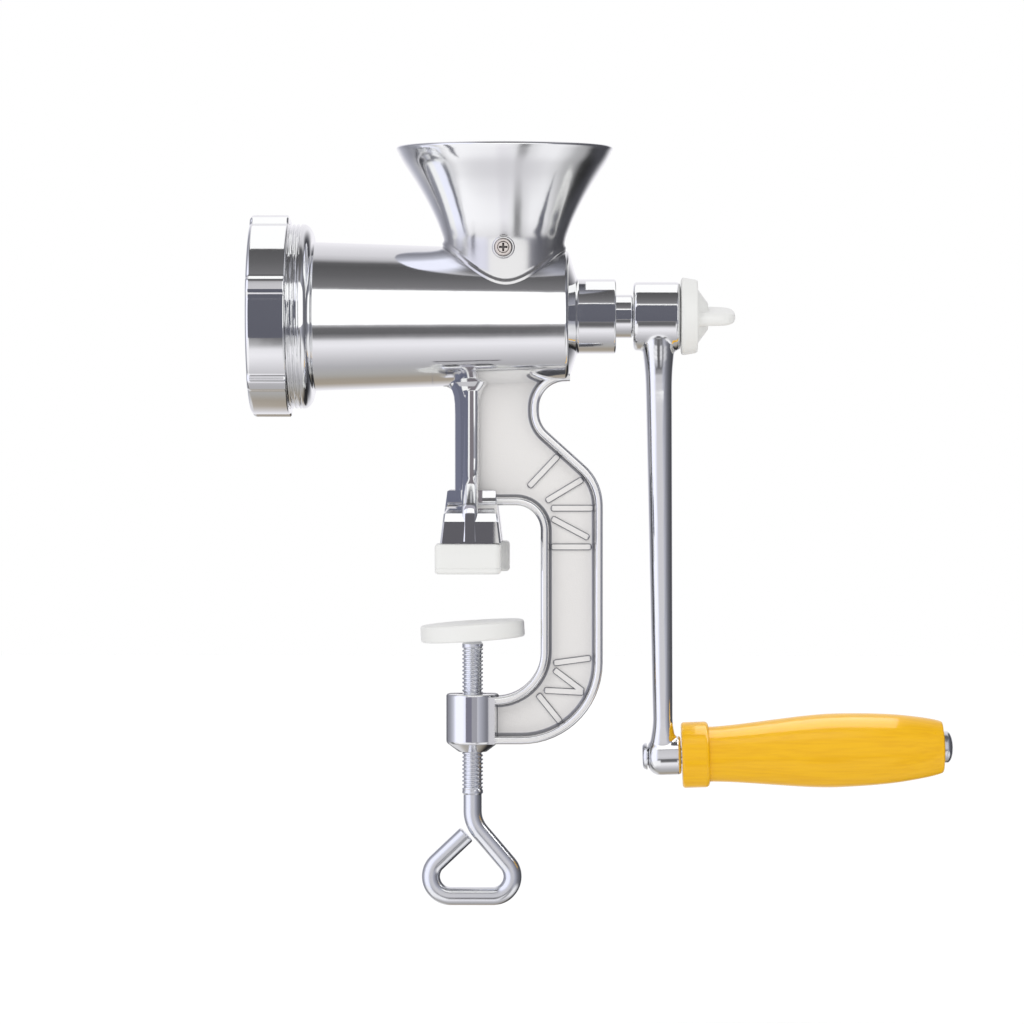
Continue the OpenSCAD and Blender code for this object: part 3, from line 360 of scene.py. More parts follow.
# %% Hopper
SKIRT_R, SKIRT_IN_R = 22.1, 20.25
HOPPER_TOP = 160.6
RIM_R, RIM_WALL = 41.1, 2.1
SADDLE_BEAD = 0.9
SCREW_Z = 122.8
FLARE = [(116, 0), (119, 0.003), (122, 0.015), (124.4, 0.033), (127, 0.062), (129.3, 0.106),
         (133.1, 0.186), (136.9, 0.279), (140.7, 0.38), (144.5, 0.492), (148.3, 0.612), (152.1, 0.742),
         (155.9, 0.87), (HOPPER_TOP, 1)]


def saddle(radius, angle):
    """Height at which the barrel meets a point of the skirt."""
    x, y = HOPPER_X + radius * math.cos(angle), radius * math.sin(angle)
    return AXIS_Z + math.sqrt((barrel_radius(x) + 0.05)**2 - y**2)


outer_shares = [(i / 44)**1.25 for i in range(45)]
lip = RIM_WALL / 2
lip_arc = arc((RIM_R - lip, HOPPER_TOP), (lip, lip), 15, 15, 11)
columns = []
for k in range(STEPS):
    angle = 2 * math.pi * k / STEPS
    foot = saddle(SKIRT_R + SADDLE_BEAD, angle)
    column = []
    for share in outer_shares:
        z = mix(foot, HOPPER_TOP, share)
        bead = SADDLE_BEAD * smooth(1.6 - (z - foot) / 1.5)
        column.append((mix(SKIRT_R, RIM_R, curve(FLARE, z)) + bead, z))
    column += lip_arc
    foot = saddle(SKIRT_IN_R, angle)
    for share in outer_shares[::-1]:
        z = mix(foot, HOPPER_TOP, share)
        column.append((mix(SKIRT_IN_R, RIM_R - RIM_WALL, curve(FLARE, z)), z))
    columns.append([(HOPPER_X + r * math.cos(angle), r * math.sin(angle), z) for r, z in column])
hopper = skin("hopper_cone", list(zip(*columns)), loop=True)
screw_bosses = []
for turn in (math.pi / 2, -math.pi / 2):
    boss = lathe("screw_boss", rounded([(0, 18.5), (4.3, 18.5), (4.3, 23.9, 0.7), (0, 23.9)]),
                 UP_HOPPER @ Matrix.Translation((0, 0, SCREW_Z - AXIS_Z)) @ Matrix.Rotation(turn, 4, "X"),
                 steps=48)
    room = plug("room", SKIRT_IN_R, 20, 31, UP_HOPPER)
    screw_bosses.append(combine(boss, [room], "DIFFERENCE"))
combine(hopper, screw_bosses)
keep(hopper, "frame", ["hopper"])

# %% [markdown]
# ## The ring nut
# The nut is turned from a casting with six flat-topped ridges to grip. The ridges are a rule, not
# separate pieces: the outer radius rises where the angle is near one of them, and the rounded front
# edge rises with it.

# %% Ring nut
NUT_FRONT_X, NUT_BACK_X, LIP_BACK_X = -84.0, -69.2, -81.0
NUT_R, OUTLET_R = 37.2, 27.0
RIDGES, RIDGE_HEIGHT, RIDGE_BASE, RIDGE_TOP = 6, 1.6, 8.4, 3.6
FIRST_RIDGE = math.radians(180 - 77)


def nut_shape(radius, x, angle):
    turn = 2 * math.pi / RIDGES
    off = abs((angle - FIRST_RIDGE + turn / 2) % turn - turn / 2) * NUT_R
    rise = smooth((RIDGE_BASE / 2 - off) / (RIDGE_BASE / 2 - RIDGE_TOP / 2))
    return radius + RIDGE_HEIGHT * rise * smooth((radius - 35.3) / 1.0)


nut_inside = THREAD_R + 0.06
nut = lathe("ring_nut_casting", rounded([
    (OUTLET_R + 1.5, NUT_FRONT_X, 0.4), (33, NUT_FRONT_X), (35.2, NUT_FRONT_X), (NUT_R, NUT_FRONT_X, 1.6),
    (NUT_R, NUT_BACK_X, 0.7), (nut_inside, NUT_BACK_X, 0.3), (nut_inside, LIP_BACK_X, 0.3),
    (OUTLET_R, LIP_BACK_X, 0.3), (OUTLET_R, NUT_FRONT_X + 1.5, 0.3)]),
    ALONG_BARREL, loop=True, shape=nut_shape, steps=2 * STEPS)
keep(nut, "ring_nut", ["ring_nut"])

# %% [markdown]
# ## The clamp frame
# The frame is a C-shaped casting: a thin web with a raised rim on each side, ribs across it, a
# round leg at the front, a foot over the pads and a boss for the screw. Each form is built as its
# own closed solid and they are joined into one. The rim is a sweep whose profile ends in a small
# fillet on the web, which is what catches the light along its foot.

# %% Frame outline
BOSS_TOP, BOSS_BOTTOM, BOSS_R = -46.2, -65.1, 10.0
LEG_FRONT_X, LEG_WIDTH = -6.6, 9.5
WEB, DEPTH, RIM = 5.0, 16.0, 3.0
OPENING_X, OPENING_TOP, BACK_X = 26.0, 25.6, 49.5
NECK_X = 25.2

outer_corners = [(0, BOSS_BOTTOM), (BACK_X, BOSS_BOTTOM, 31), (BACK_X, 34.5, 20.5), (NECK_X, 56.4, 10.2),
                 (NECK_X, 72.6, 10), (37.0, 72.6)]
inner_corners = [(-2, 28.6 - RIM), (OPENING_X, OPENING_TOP, 9.5), (OPENING_X, BOSS_TOP - 1, 17.1),
                 (0, BOSS_TOP - 1)]


def path_of(corners, step):
    """Points of an open outline with the direction into the metal at each."""
    points = [Vector(p) for p in rounded(corners, closed=False, step=step)]
    path = []
    for i, p in enumerate(points):
        ahead = points[min(i + 1, len(points) - 1)] - p
        behind = p - points[max(i - 1, 0)]
        along = (ahead.normalized() + behind.normalized()).normalized()
        path.append((p, Vector((-along.y, along.x))))
    return path


FINE = math.radians(6)
RIM_EDGE, FILLET = 1.3, 1.6
outer_path = path_of(outer_corners, FINE)
inner_path = path_of(inner_corners, FINE)
rim_top = rounded([(0, 0), (0, DEPTH / 2, RIM_EDGE), (RIM, DEPTH / 2, RIM_EDGE),
                   (RIM, WEB / 2 + 0.1, FILLET), (RIM + 3, WEB / 2 + 0.1), (RIM + 3, 0)], step=FINE)[1:-1]
rim_profile = rim_top + [(u, -v) for u, v in rim_top[::-1]]
print("rim profile has", len(rim_profile), "points and the outer rim", len(outer_path))

# %% [markdown]
# The web is a plate between the two rims, and its outline runs 1 mm inside both. The ribs are long
# rounded bars, laid across the limb where the picture shows them, and sunk into the web so that
# only a low ridge is left on each face. Each row of their table gives the start across and along
# the limb, the angle in degrees and the length, and all but the angle are shares of the limb.

# %% Frame web and ribs
lip_x = LEG_FRONT_X - 4.4
web_outline = ([tuple(p + n) for p, n in outer_path]
               + [(37, 76), (-7.0, 76), (lip_x, 74)]
               + rounded([(lip_x, 74), (lip_x, 70.6), (LEG_FRONT_X, 70.6, 4.2), (LEG_FRONT_X, 40)],
                         closed=False)[1:]
               + [(LEG_FRONT_X, OPENING_TOP + 1)]
               + [tuple(p + n) for p, n in inner_path[1:]])
web = slab("web", web_outline, -WEB / 2, WEB / 2)
rims = [sweep("outer_rim", outer_path, rim_profile), sweep("inner_rim", inner_path, rim_profile)]

LIMB = BACK_X - OPENING_X
UPPER_RIBS = [(-0.2, 0.29, 46.7, 0.71), (0.08, 0.06, 31, 0.7), (0.16, -0.05, 0, 0.69),
              (0.17, -0.21, -28, 0.69), (0.16, -0.675, 0, 0.66)]
LOWER_RIBS = [(0.2, 0.5, 7.7, 0.62), (0.21, 0.4, -37, 0.6), (0.05, 0.06, -3, 0.65),
              (-0.05, 0, -51, 0.59)]
RIB_WIDTH, RIB_RISE = 2.5, 0.8


def bar(start, angle, length):
    """A flat-topped bar through the web, seen as one rib on each face."""
    half = RIB_WIDTH / 2
    height = WEB / 2 + RIB_RISE
    section = rounded([(-half - 0.3, 0), (-half, height, 0.5), (half, height, 0.5), (half + 0.3, 0)])
    section = section[1:-1] + [(-v, -h) for v, h in section[1:-1]]
    cos, sin = math.cos(angle), math.sin(angle)
    rings = []
    for share, grow in ((0, 0.35), (0.02, 0.8), (0.06, 1), (0.94, 1), (0.98, 0.8), (1, 0.35)):
        along = share * length
        rings.append([(start[0] + along * cos - v * grow * sin,
                       math.copysign(min(abs(h), height - (1 - grow) * 0.6), h),
                       start[1] + along * sin + v * grow * cos) for v, h in section])
    return skin("rib", rings, caps=True)


ribs = [bar((OPENING_X + across * LIMB, corner_z + up * LIMB), math.radians(angle), length * LIMB)
        for corner_z, table in ((OPENING_TOP, UPPER_RIBS), (BOSS_TOP, LOWER_RIBS))
        for across, up, angle, length in table]
print(len(ribs), "ribs")

# %% [markdown]
# The front leg runs down into a foot that spreads across the frame over both pads. A narrow rounded
# rib runs down its middle, over the foot and down the end of each toe. The foot has the same
# profile all along X, so half of it is written and the other half is its mirror image. The screw
# boss is turned, with a cone under it.

# %% Frame leg, foot and boss
FOOT_X, FOOT_BOTTOM, FOOT_TOP = -0.2, 11.7, 31.3
FOOT_HALF, TOE = 22.0, 8.2
FOOT_LONG, FOOT_LONG_TOP = 22.9, 18.3
PAD_PLACES = {"near": (-1.3, -16.45), "far": (1.4, 16.45)}
RIB_R, RIB_SUNK = 3.05, 2.2
leg_x = LEG_FRONT_X + LEG_WIDTH / 2
leg_section = box(LEG_WIDTH / 2, DEPTH / 2, 4.2)
leg_rings = []
for z, spread in ((FOOT_BOTTOM + 4, 0), (60, 0), (64, 0.1), (67, 0.45), (69, 1.1), (70.5, 2.1), (74, 4)):
    leg_rings.append([(leg_x + x + math.copysign(spread, x), y * (1 + 0.02 * spread), z)
                      for x, y in leg_section])
leg = skin("leg", leg_rings, caps=True)


def mirrored(half):
    """Closes half a profile of (y, z) points with its mirror image; a third value is kept."""
    return half + [(-y, *rest) for y, *rest in half[::-1]]


toe_top = FOOT_BOTTOM + TOE
shoulder_y, shoulder_z = FOOT_HALF - 1.4, toe_top + 3.2
sweep_start, sweep_y = shoulder_y - 0.3, shoulder_y + 0.6 - LEG_WIDTH
foot_profile = mirrored([
    (FOOT_HALF, FOOT_BOTTOM), (FOOT_HALF, toe_top - 0.4), (FOOT_HALF - 0.15, toe_top),
    (shoulder_y + 0.1, shoulder_z - 0.3), (sweep_start, shoulder_z)]
    + arc((sweep_start, FOOT_TOP), (sweep_y, FOOT_TOP - shoulder_z), 262.5, -7.5, 12))


def foot_x(z, side):
    width = mix(FOOT_LONG, FOOT_LONG_TOP, (z - FOOT_BOTTOM) / (FOOT_TOP - FOOT_BOTTOM))
    return FOOT_X + side * width / 2


foot_rings = []
for side, inset, shrink in ((-1, 0, 0.7), (-1, 0.7, 0), (1, 0.7, 0), (1, 0, 0.7)):
    foot_rings.append([(foot_x(z, side) - side * inset, y * (1 - shrink / FOOT_HALF),
                        z - shrink * 0.5 * (z > FOOT_BOTTOM + 1)) for y, z in foot_profile])
foot = skin("foot", foot_rings, caps=True)
gusset_profile = rounded(mirrored([
    (22.8, FOOT_BOTTOM + 0.6), (22.2, 25, 7), (9.2, FOOT_TOP + 8, 12), (8.6, 69)]))
gusset_rings = []
for a in (math.pi * (k + 0.5) / 12 for k in range(12)):
    x, sunk = FOOT_X - 0.3 - RIB_R * math.cos(a), RIB_SUNK * (1 - math.sin(a))
    gusset_rings.append([(x, y - math.copysign(sunk, y), z) for y, z in gusset_profile])
gusset = skin("gusset", gusset_rings, caps=True)
lugs = [skin("lug", [[(x + u, y + v, z) for u, v in box(9.45, 4.05)] for z in (3.3, 13.5)], caps=True)
        for x, y in PAD_PLACES.values()]
boss = lathe("boss", rounded([
    (0, -68.3), (5.4, -68.3, 0.5), (BOSS_R - 0.4, BOSS_BOTTOM, 1), (BOSS_R, BOSS_BOTTOM + 0.8, 0.5),
    (BOSS_R, BOSS_TOP, 0.9), (5.4, BOSS_TOP, 0.4), (4.3, BOSS_TOP - 1.0), (0, BOSS_TOP - 1.0)]), UPRIGHT)
boss_back = slab("boss_back", [(0, BOSS_BOTTOM), (8.6, BOSS_BOTTOM), (8.6, BOSS_TOP - 1),
                               (0, BOSS_TOP - 1)], -DEPTH / 2, DEPTH / 2)
casting = combine(web, rims + ribs + [leg, foot, gusset, boss_back, boss] + lugs)
hole = plug("hole", 4.06, -70, -40, UPRIGHT, steps=96)
seat = lathe("seat", [(0, -70), (barrel_radius(-70) - 1.2, -70), (barrel_radius(36) - 1.2, 36),
                      (13.4, 39), (13.4, 50), (0, 50)], ALONG_BARREL)
combine(casting, [hole, seat], "DIFFERENCE")
casting.name = "clamp_frame_casting"
keep(casting, "frame", ["clamp_frame"])

# %% [markdown]
# ## The pads
# The two upper pads are moulded nylon shoes pushed onto lugs, with a parting line just above the
# sole: each level of the table is a height and how far the outline draws in there. The clamp pad is
# a domed disc that tilts on the screw's ball.

# %% Pads
PAD_TOP, PAD_HALF_X, PAD_HALF_Y = 11.4, 12.4, 7.0
SHOE_LEVELS = [(0, 0.9), (0.25, 0.4), (0.8, 0.0), (1.9, 0.0), (2.05, 0.14), (2.3, 0.14), (2.45, 0.0),
               (PAD_TOP - 1.2, 0.0), (PAD_TOP - 0.4, 0.25), (PAD_TOP, 0.9)]

for side, (x, y) in PAD_PLACES.items():
    outside = [(z, box(PAD_HALF_X - shrink, PAD_HALF_Y - shrink, 2.6)) for z, shrink in SHOE_LEVELS]
    inside = [(z, box(9.5, 4.1, 0.6)) for z in (PAD_TOP, 3.25)]
    shoe = skin(f"upper_pad_{side}_shoe", [[(x + u, y + v, z) for u, v in ring]
                                           for z, ring in outside + inside], caps=True)
    keep(shoe, "frame", [f"upper_pad_{side}"])

BALL_Z, BALL_ROOM, PAD_TILT = -22.35, 2.86, math.radians(3.85)
DISC_R, DISC_HALF = 19.8, 3.25
ON_BALL = Matrix.Translation((0, 0, BALL_Z)) @ Matrix.Rotation(-PAD_TILT, 4, "Y")
ball_socket = [(0, BALL_ROOM)] + arc((0, 0), (BALL_ROOM, BALL_ROOM), 80, -10, 13)
disc = lathe("clamp_pad_disc", ball_socket + rounded([
    (1.9, -2.19), (2.5, -DISC_HALF, 0.3), (DISC_R, -DISC_HALF, 1.0), (DISC_R, DISC_HALF, 1.2),
    (12, 3.55), (0, 3.75)], closed=False), ON_BALL)
keep(disc, "clamp_pad", ["clamp_pad"])

# %% [markdown]
# ## The clamp screw
# The screw is one steel rod: a threaded length, then a bend into a loop to turn it by. The thread
# is turned by the same lathe as the barrel's, and the loop is a round profile swept along a path
# whose corners have the radii of the bends.

# %% Clamp screw
SCREW_R, SCREW_PITCH, SCREW_DEPTH = 4.0, 1.5, 0.6
SCREW_TOP, THREAD_LOW = -26.36, -84.66
ROD_R, LOOP_BEND = 3.5, 7.5
LOOP_LEFT, LOOP_RIGHT, LOOP_LOW = -27.19, 23.94, -123.51


def screw_shape(radius, z, angle):
    if radius < SCREW_R - 0.01:
        return radius
    fade = smooth((SCREW_TOP - 1.2 - z) / 2) * smooth((z - THREAD_LOW - 1) / 2)
    return radius - thread_dip(z, angle, SCREW_PITCH, SCREW_DEPTH) * fade


turned = [(SCREW_R, mix(THREAD_LOW + 0.6, SCREW_TOP - 0.9, k / 300)) for k in range(301)]
thread = lathe("clamp_screw_thread", [(0, THREAD_LOW), (ROD_R, THREAD_LOW)] + turned
               + [(SCREW_R - 0.7, SCREW_TOP), (0, SCREW_TOP)], UPRIGHT, shape=screw_shape, steps=64)
loop_path = path_of([(0, THREAD_LOW + 1), (0, -95.38, 12), (LOOP_RIGHT, LOOP_LOW, LOOP_BEND),
                     (LOOP_LEFT, LOOP_LOW, LOOP_BEND), (-2.67, -100.25)], math.radians(5))
end, inwards = loop_path[-1]
ahead = Vector((inwards.y, -inwards.x))
spots = [(p, n, ROD_R) for p, n in loop_path]
spots += [(end + ahead * forward, inwards, r) for forward, r in ((0.35, 3.35), (0.6, 3.0), (0.7, 2.6))]
rod = skin("clamp_screw_loop", [ring_at(p, n, arc((0, 0), (r, r), 0, 360 / 32, 32)) for p, n, r in spots],
           caps=True)
keep(gather("clamp_screw_rod", [thread, rod]), "clamp_screw", ["clamp_screw"])

# %% [markdown]
# ## The crank, its grip and the thumb screw
# The crank is a casting with soft transitions: a hub, a flat tapered arm that runs out of it in a
# concave sweep, and an eye for the spindle. Overlapping solids are melted into one skin, which
# rounds the inner corners too. The thumb screw's knob and wing are moulded in one and melted alike.

# %% Crank and thumb screw
HUB_X, HUB_END_X, HUB_R, DRIVE = 61.0, 78.9, 13.0, 11.2
ARM_TOP, ARM_LOW, ARM_DEPTH = 5.3, 3.65, 1.45
ARM_TOP_X = 70.45
EYE_R, EYE_HALF, EYE_BORE = 7.4, 6.45, 3.55


def arm_rings():
    """Squarish rings from the eye up to the hub, wider at both ends."""
    rings = []
    for share in (k / 60 for k in range(61)):
        z = mix(SPINDLE_Z, AXIS_Z, share)
        x = mix(SPINDLE_X - 0.3, ARM_TOP_X, share)
        half = mix(ARM_LOW, ARM_TOP, share)
        spread = smooth((z - (AXIS_Z - 32)) / 26)**2
        foot_grow = smooth((SPINDLE_Z + 14 - z) / 14)
        hx = half * (1 + 0.28 * spread + 0.5 * foot_grow)
        hy = half * ARM_DEPTH * (1 + 0.42 * spread + 0.15 * foot_grow)
        ring = []
        for k in range(48):
            a = 2 * math.pi * k / 48
            c, s = math.cos(a), math.sin(a)
            ring.append((x + hx * math.copysign(abs(c)**0.8, c), hy * math.copysign(abs(s)**0.8, s), z))
        rings.append(ring)
    return rings


hub = lathe("hub", rounded([(0, HUB_X), (HUB_R, HUB_X, 1.4), (HUB_R, HUB_END_X, 1.4), (0, HUB_END_X)]),
            ALONG_BARREL, steps=96)
eye = lathe("eye", rounded([(0, -EYE_HALF), (EYE_R, -EYE_HALF, 5.0), (EYE_R, EYE_HALF, 0.9),
                            (0, EYE_HALF)]), ALONG_SPINDLE, steps=96)
arm = skin("crank_arm_casting", arm_rings(), caps=True)
crank = melt(gather("crank_arm_casting", [arm, hub, eye]), 0.5, 4)
hub_centre, hub_half = (HUB_X + HUB_END_X) / 2, (HUB_END_X - HUB_X) / 2
square = slab("square", [(hub_centre + u, AXIS_Z + v) for u, v in box(hub_half + 2, DRIVE / 2)],
              -DRIVE / 2 - 0.05, DRIVE / 2 + 0.05)
spindle_hole = plug("spindle_hole", EYE_BORE, -9, 9, ALONG_SPINDLE, steps=64)
combine(crank, [square, spindle_hole], "DIFFERENCE")
shade(crank, 60)
keep(crank, "crank", ["crank_arm"])

KNOB_X, KNOB_R, KNOB_OUTER_R, CONE_R = 79.1, 14.9, 13.8, 10.3
KNOB_THICK, CONE_LONG = 6.4, 3.9
WING_THICK, WING_WIDE, WING_TURN = 5.0, 22.0, math.radians(9)
STUD_HOLE_R, STUD_HOLE_DEEP = 4.05, 5.6
WITH_WING = ALONG_BARREL @ Matrix.Translation((0, 0, KNOB_X)) @ Matrix.Rotation(WING_TURN, 4, "Z")
cone_end = KNOB_THICK + CONE_LONG
knob_disc = lathe("knob_disc", rounded([
    (0, 0), (KNOB_R, 0, 1), (KNOB_OUTER_R, KNOB_THICK, 0.9), (CONE_R, KNOB_THICK), (WING_THICK, cone_end),
    (0, cone_end)]), WITH_WING, steps=96)
wing_rings = []
for z, wide, thick in ((3, 1, 1), (10, 1, 1), (13, 0.99, 0.98), (16, 0.95, 0.94), (18, 0.86, 0.88),
                       (19.4, 0.7, 0.76), (20.2, 0.5, 0.55), (20.6, 0.25, 0.3)):
    ring = box(WING_WIDE / 2 * wide, WING_THICK / 2 * thick, 2.2 * thick)
    wing_rings.append([WITH_WING @ Vector((u, v, z)) for u, v in ring])
wing = skin("wing", wing_rings, caps=True)
knob = melt(gather("thumb_knob_moulding", [knob_disc, wing]), 0.35, 3)
combine(knob, [plug("stud_hole", STUD_HOLE_R, -4, STUD_HOLE_DEEP, WITH_WING, steps=48)], "DIFFERENCE")
shade(knob, 60)
keep(knob, "thumb_screw", ["thumb_knob"])

# %% [markdown]
# The grip is a turned handle with a swell in its middle. Its outline is a list of radii along the
# axis, joined by a smooth curve, and it turns freely on the steel spindle between the crank's eye
# and a domed cap.

# %% Grip
GRIP_START, GRIP_LONG, GRIP_BORE = 6.7, 99.4, 3.6
FERRULE_R, FERRULE_LONG = 12.5, 10.4
BELLY = [(FERRULE_LONG, 10.45), (13, 10.5), (20, 10.95), (28, 11.7), (38, 12.7), (48, 13.6), (56, 14.0),
         (64, 13.95), (73, 13.6), (82, 12.9), (90, 11.8), (95, 10.9), (GRIP_LONG, 9.8)]
BELLY_START, BELLY_END = 10.6, 97.6
CAP_R, CAP_GAP = 6, 0.2
SPINDLE_R, SPINDLE_HEAD_R, SPINDLE_END = 3.5, 5.2, 107.9

start = rounded([(GRIP_BORE, 0, 0.4), (FERRULE_R, 0, 1.2), (FERRULE_R, FERRULE_LONG, 1.6),
                 (BELLY[0][1], FERRULE_LONG)], closed=False)[2:-1]
swell = [(curve(BELLY, z), z) for z in (mix(BELLY_START, BELLY_END, k / 60) for k in range(61))]
end = rounded([(curve(BELLY, BELLY_END), BELLY_END), (9.6, GRIP_LONG, 1.2), (GRIP_BORE, GRIP_LONG, 0.4),
               (GRIP_BORE, 50)], closed=False)[1:-1]
grip = lathe("grip_handle", [(GRIP_BORE, 0.4)] + start + swell + end,
             ALONG_SPINDLE @ Matrix.Translation((0, 0, GRIP_START)), loop=True, steps=128)
keep(grip, "grip", ["grip"])

cap_place = ALONG_SPINDLE @ Matrix.Translation((0, 0, GRIP_START + GRIP_LONG + CAP_GAP))
cap = lathe("grip_end_cap_dome", [(0, 0), (CAP_R - 0.2, 0), (CAP_R, 0.2), (CAP_R, 1.1)]
            + arc((0, 1.17), (CAP_R, 2.33), 7.5, 7.5, 12), cap_place, steps=96)
keep(cap, "crank", ["grip_end_cap"])
spindle = lathe("grip_spindle_rod", rounded([
    (0, -8.2), (4.6, -8.2, 1.4), (SPINDLE_HEAD_R, -EYE_HALF, 0.2), (SPINDLE_R, -EYE_HALF),
    (SPINDLE_R, SPINDLE_END, 0.3), (0, SPINDLE_END)]), ALONG_SPINDLE, steps=96)
keep(spindle, "crank", ["grip_spindle"])

# %% [markdown]
# ## What turns inside
# The auger's flight is a left-handed helix whose pitch closes up towards the plate. One cross
# section is carried round the core, and each step of it is a ring for the same skin function.

# %% Auger
AUGER_FRONT, AUGER_BACK = -69.1, 28.8
FLANGE_R, FLANGE_BACK, JOURNAL_R, JOURNAL_END = 18, 31.8, 8.2, 60.8
FLIGHT_START, FLIGHT_LONG = -66.1, 91.9
TURNS, FLIGHT_ROOT, FLIGHT_TIP, TIP_GAP, SPREAD = 3.75, 6.0, 2.6, 0.6, 0.22
core = lathe("auger_core", rounded([
    (0, AUGER_FRONT), (9, AUGER_FRONT, 0.8), (11, AUGER_BACK, 2), (FLANGE_R, AUGER_BACK, 0.6),
    (FLANGE_R, FLANGE_BACK, 0.6), (JOURNAL_R, FLANGE_BACK), (JOURNAL_R, JOURNAL_END, 0.8),
    (0, JOURNAL_END)]), ALONG_BARREL)
flight_rings = []
for k in range(361):
    t = k / 360
    a = math.radians(90 - 360 * TURNS * t)
    x = FLIGHT_START + FLIGHT_LONG * (t - SPREAD * t * (1 - t))
    tip_r = barrel_radius(x) - BORE_WALL - TIP_GAP
    tip_r = mix(8, tip_r, smooth(t * 40 + 0.1) * smooth((1 - t) * 40 + 0.1))
    front = [(7, -FLIGHT_ROOT / 2 - 0.6), (10.8, -FLIGHT_ROOT / 2), (13, -FLIGHT_ROOT / 2 + 0.7),
             (tip_r - 0.5, -FLIGHT_TIP / 2), (tip_r, -FLIGHT_TIP / 2 + 0.5)]
    section = front + [(r, -off) for r, off in front[::-1]]
    flight_rings.append([(x + off, r * math.cos(a), AXIS_Z + r * math.sin(a)) for r, off in section])
flight = skin("auger_flight", flight_rings, caps=True)
drive = skin("auger_drive", [[(x, y * size, AXIS_Z + z * size) for y, z in box(DRIVE / 2, DRIVE / 2, 1.2)]
                             for x, size in ((60.0, 1), (75.4, 1), (75.8, 0.95))], caps=True)
keep(gather("auger_casting", [core, flight, drive]), "auger", ["auger"])

# %% [markdown]
# ## Repeated details with Geometry Nodes
# The plate's holes and the hopper's screws repeat, so a node group sets them out. `Tree` wraps a
# node group: a call makes a node, sets its options and links what is passed to its sockets. The
# inputs have names, and a value is set on the modifier by the socket's identifier.

# %% A wrapper for node trees


class Wire:
    """One output socket that can be used in ordinary arithmetic."""

    def __init__(self, tree, socket):
        self.tree, self.socket = tree, socket

    def maths(self, operation, other=None, first=None):
        inputs = [i for i in (first, self, other) if i is not None]
        return self.tree("ShaderNodeMath", dict(enumerate(inputs)), operation=operation)

    def __add__(self, other): return self.maths("ADD", other)
    def __radd__(self, other): return self.maths("ADD", first=other)
    def __sub__(self, other): return self.maths("SUBTRACT", other)
    def __rsub__(self, other): return self.maths("SUBTRACT", first=other)
    def __mul__(self, other): return self.maths("MULTIPLY", other)
    def __rmul__(self, other): return self.maths("MULTIPLY", first=other)
    def __truediv__(self, other): return self.maths("DIVIDE", other)
    def __rtruediv__(self, other): return self.maths("DIVIDE", first=other)
    def __neg__(self): return self.maths("MULTIPLY", -1.0)
    def __abs__(self): return self.maths("ABSOLUTE")


class Tree:
    """Makes nodes in a tree. The result of a call is one output of the new node.

    A list of wires goes into one socket that takes several."""

    def __init__(self, nodes_in):
        self.tree = nodes_in

    def __call__(self, kind, sockets=None, out=0, **settings):
        node = self.tree.nodes.new(kind)
        for name, value in settings.items():
            setattr(node, name, value)
        for key, value in (sockets or {}).items():
            for one in value if isinstance(value, list) else [value]:
                if isinstance(one, Wire):
                    self.tree.links.new(one.socket, node.inputs[key])
                else:
                    node.inputs[key].default_value = one
        return Wire(self, node.outputs[out]) if node.outputs else None

    def of(self, wire, out):
        """Another output of the node that made a wire."""
        return Wire(self, wire.socket.node.outputs[out])


def node_group(name, kinds):
    """A geometry node group with named inputs; returns it, its Tree and its input wires."""
    group = bpy.data.node_groups.new(name, "GeometryNodeTree")
    group.interface.new_socket("Geometry", in_out="OUTPUT", socket_type="NodeSocketGeometry")
    kinds = {"Geometry": "Geometry", "Material": "Material", **kinds}
    for label, kind in kinds.items():
        group.interface.new_socket(label, in_out="INPUT", socket_type="NodeSocket" + kind)
    tree = Tree(group)
    source = tree("NodeGroupInput")
    return group, tree, {label: tree.of(source, label) for label in kinds}


def end_group(tree, geometry, material):
    """Ends a tree: instances become a mesh, and the mesh gets its material."""
    solid = tree("GeometryNodeRealizeInstances", {"Geometry": geometry})
    tree("NodeGroupOutput", {"Geometry": tree("GeometryNodeSetMaterial", {
        "Geometry": solid, "Material": material})})


def run_group(piece, group, values):
    """Runs a node group on a piece once and keeps the result as its mesh."""
    change = piece.modifiers.new(group.name, "NODES")
    change.node_group = group
    for item in group.interface.items_tree:
        if item.in_out == "INPUT" and item.name in values:
            change[item.identifier] = values[item.name]
    bake(piece)


def named_material(name):
    """A material by its name, new at the first call."""
    return bpy.data.materials.get(name) or bpy.data.materials.new(name)


print("node tools ready")

# %% [markdown]
# The plate starts as a plain disc. For each circle of holes a Mesh Circle gives the places, a
# cylinder is instanced on them, and Mesh Boolean takes the cylinders out. Every tree ends in Realize
# Instances and Set Material. A notch in the plate's edge takes the key that stops it from turning.

# %% Grinding plate
PLATE_X, PLATE_THICK, PLATE_R = -80.8, 5.0, 31.0
HOLE_R, HOLE_CIRCLES, NOTCH = 2.4, 3, 1.9

plate_sizes = {"First radius": 9.2, "Step": 6.3, "Spacing": 6.6, "Hole radius": HOLE_R,
               "Centre hole": 4.06, "Thickness": PLATE_THICK}
group, tree, given = node_group("perforate", dict.fromkeys(plate_sizes, "Float"))


def drill(radius, sides):
    return tree("GeometryNodeMeshCylinder", {"Vertices": sides, "Radius": radius,
                                             "Depth": given["Thickness"] * 2})


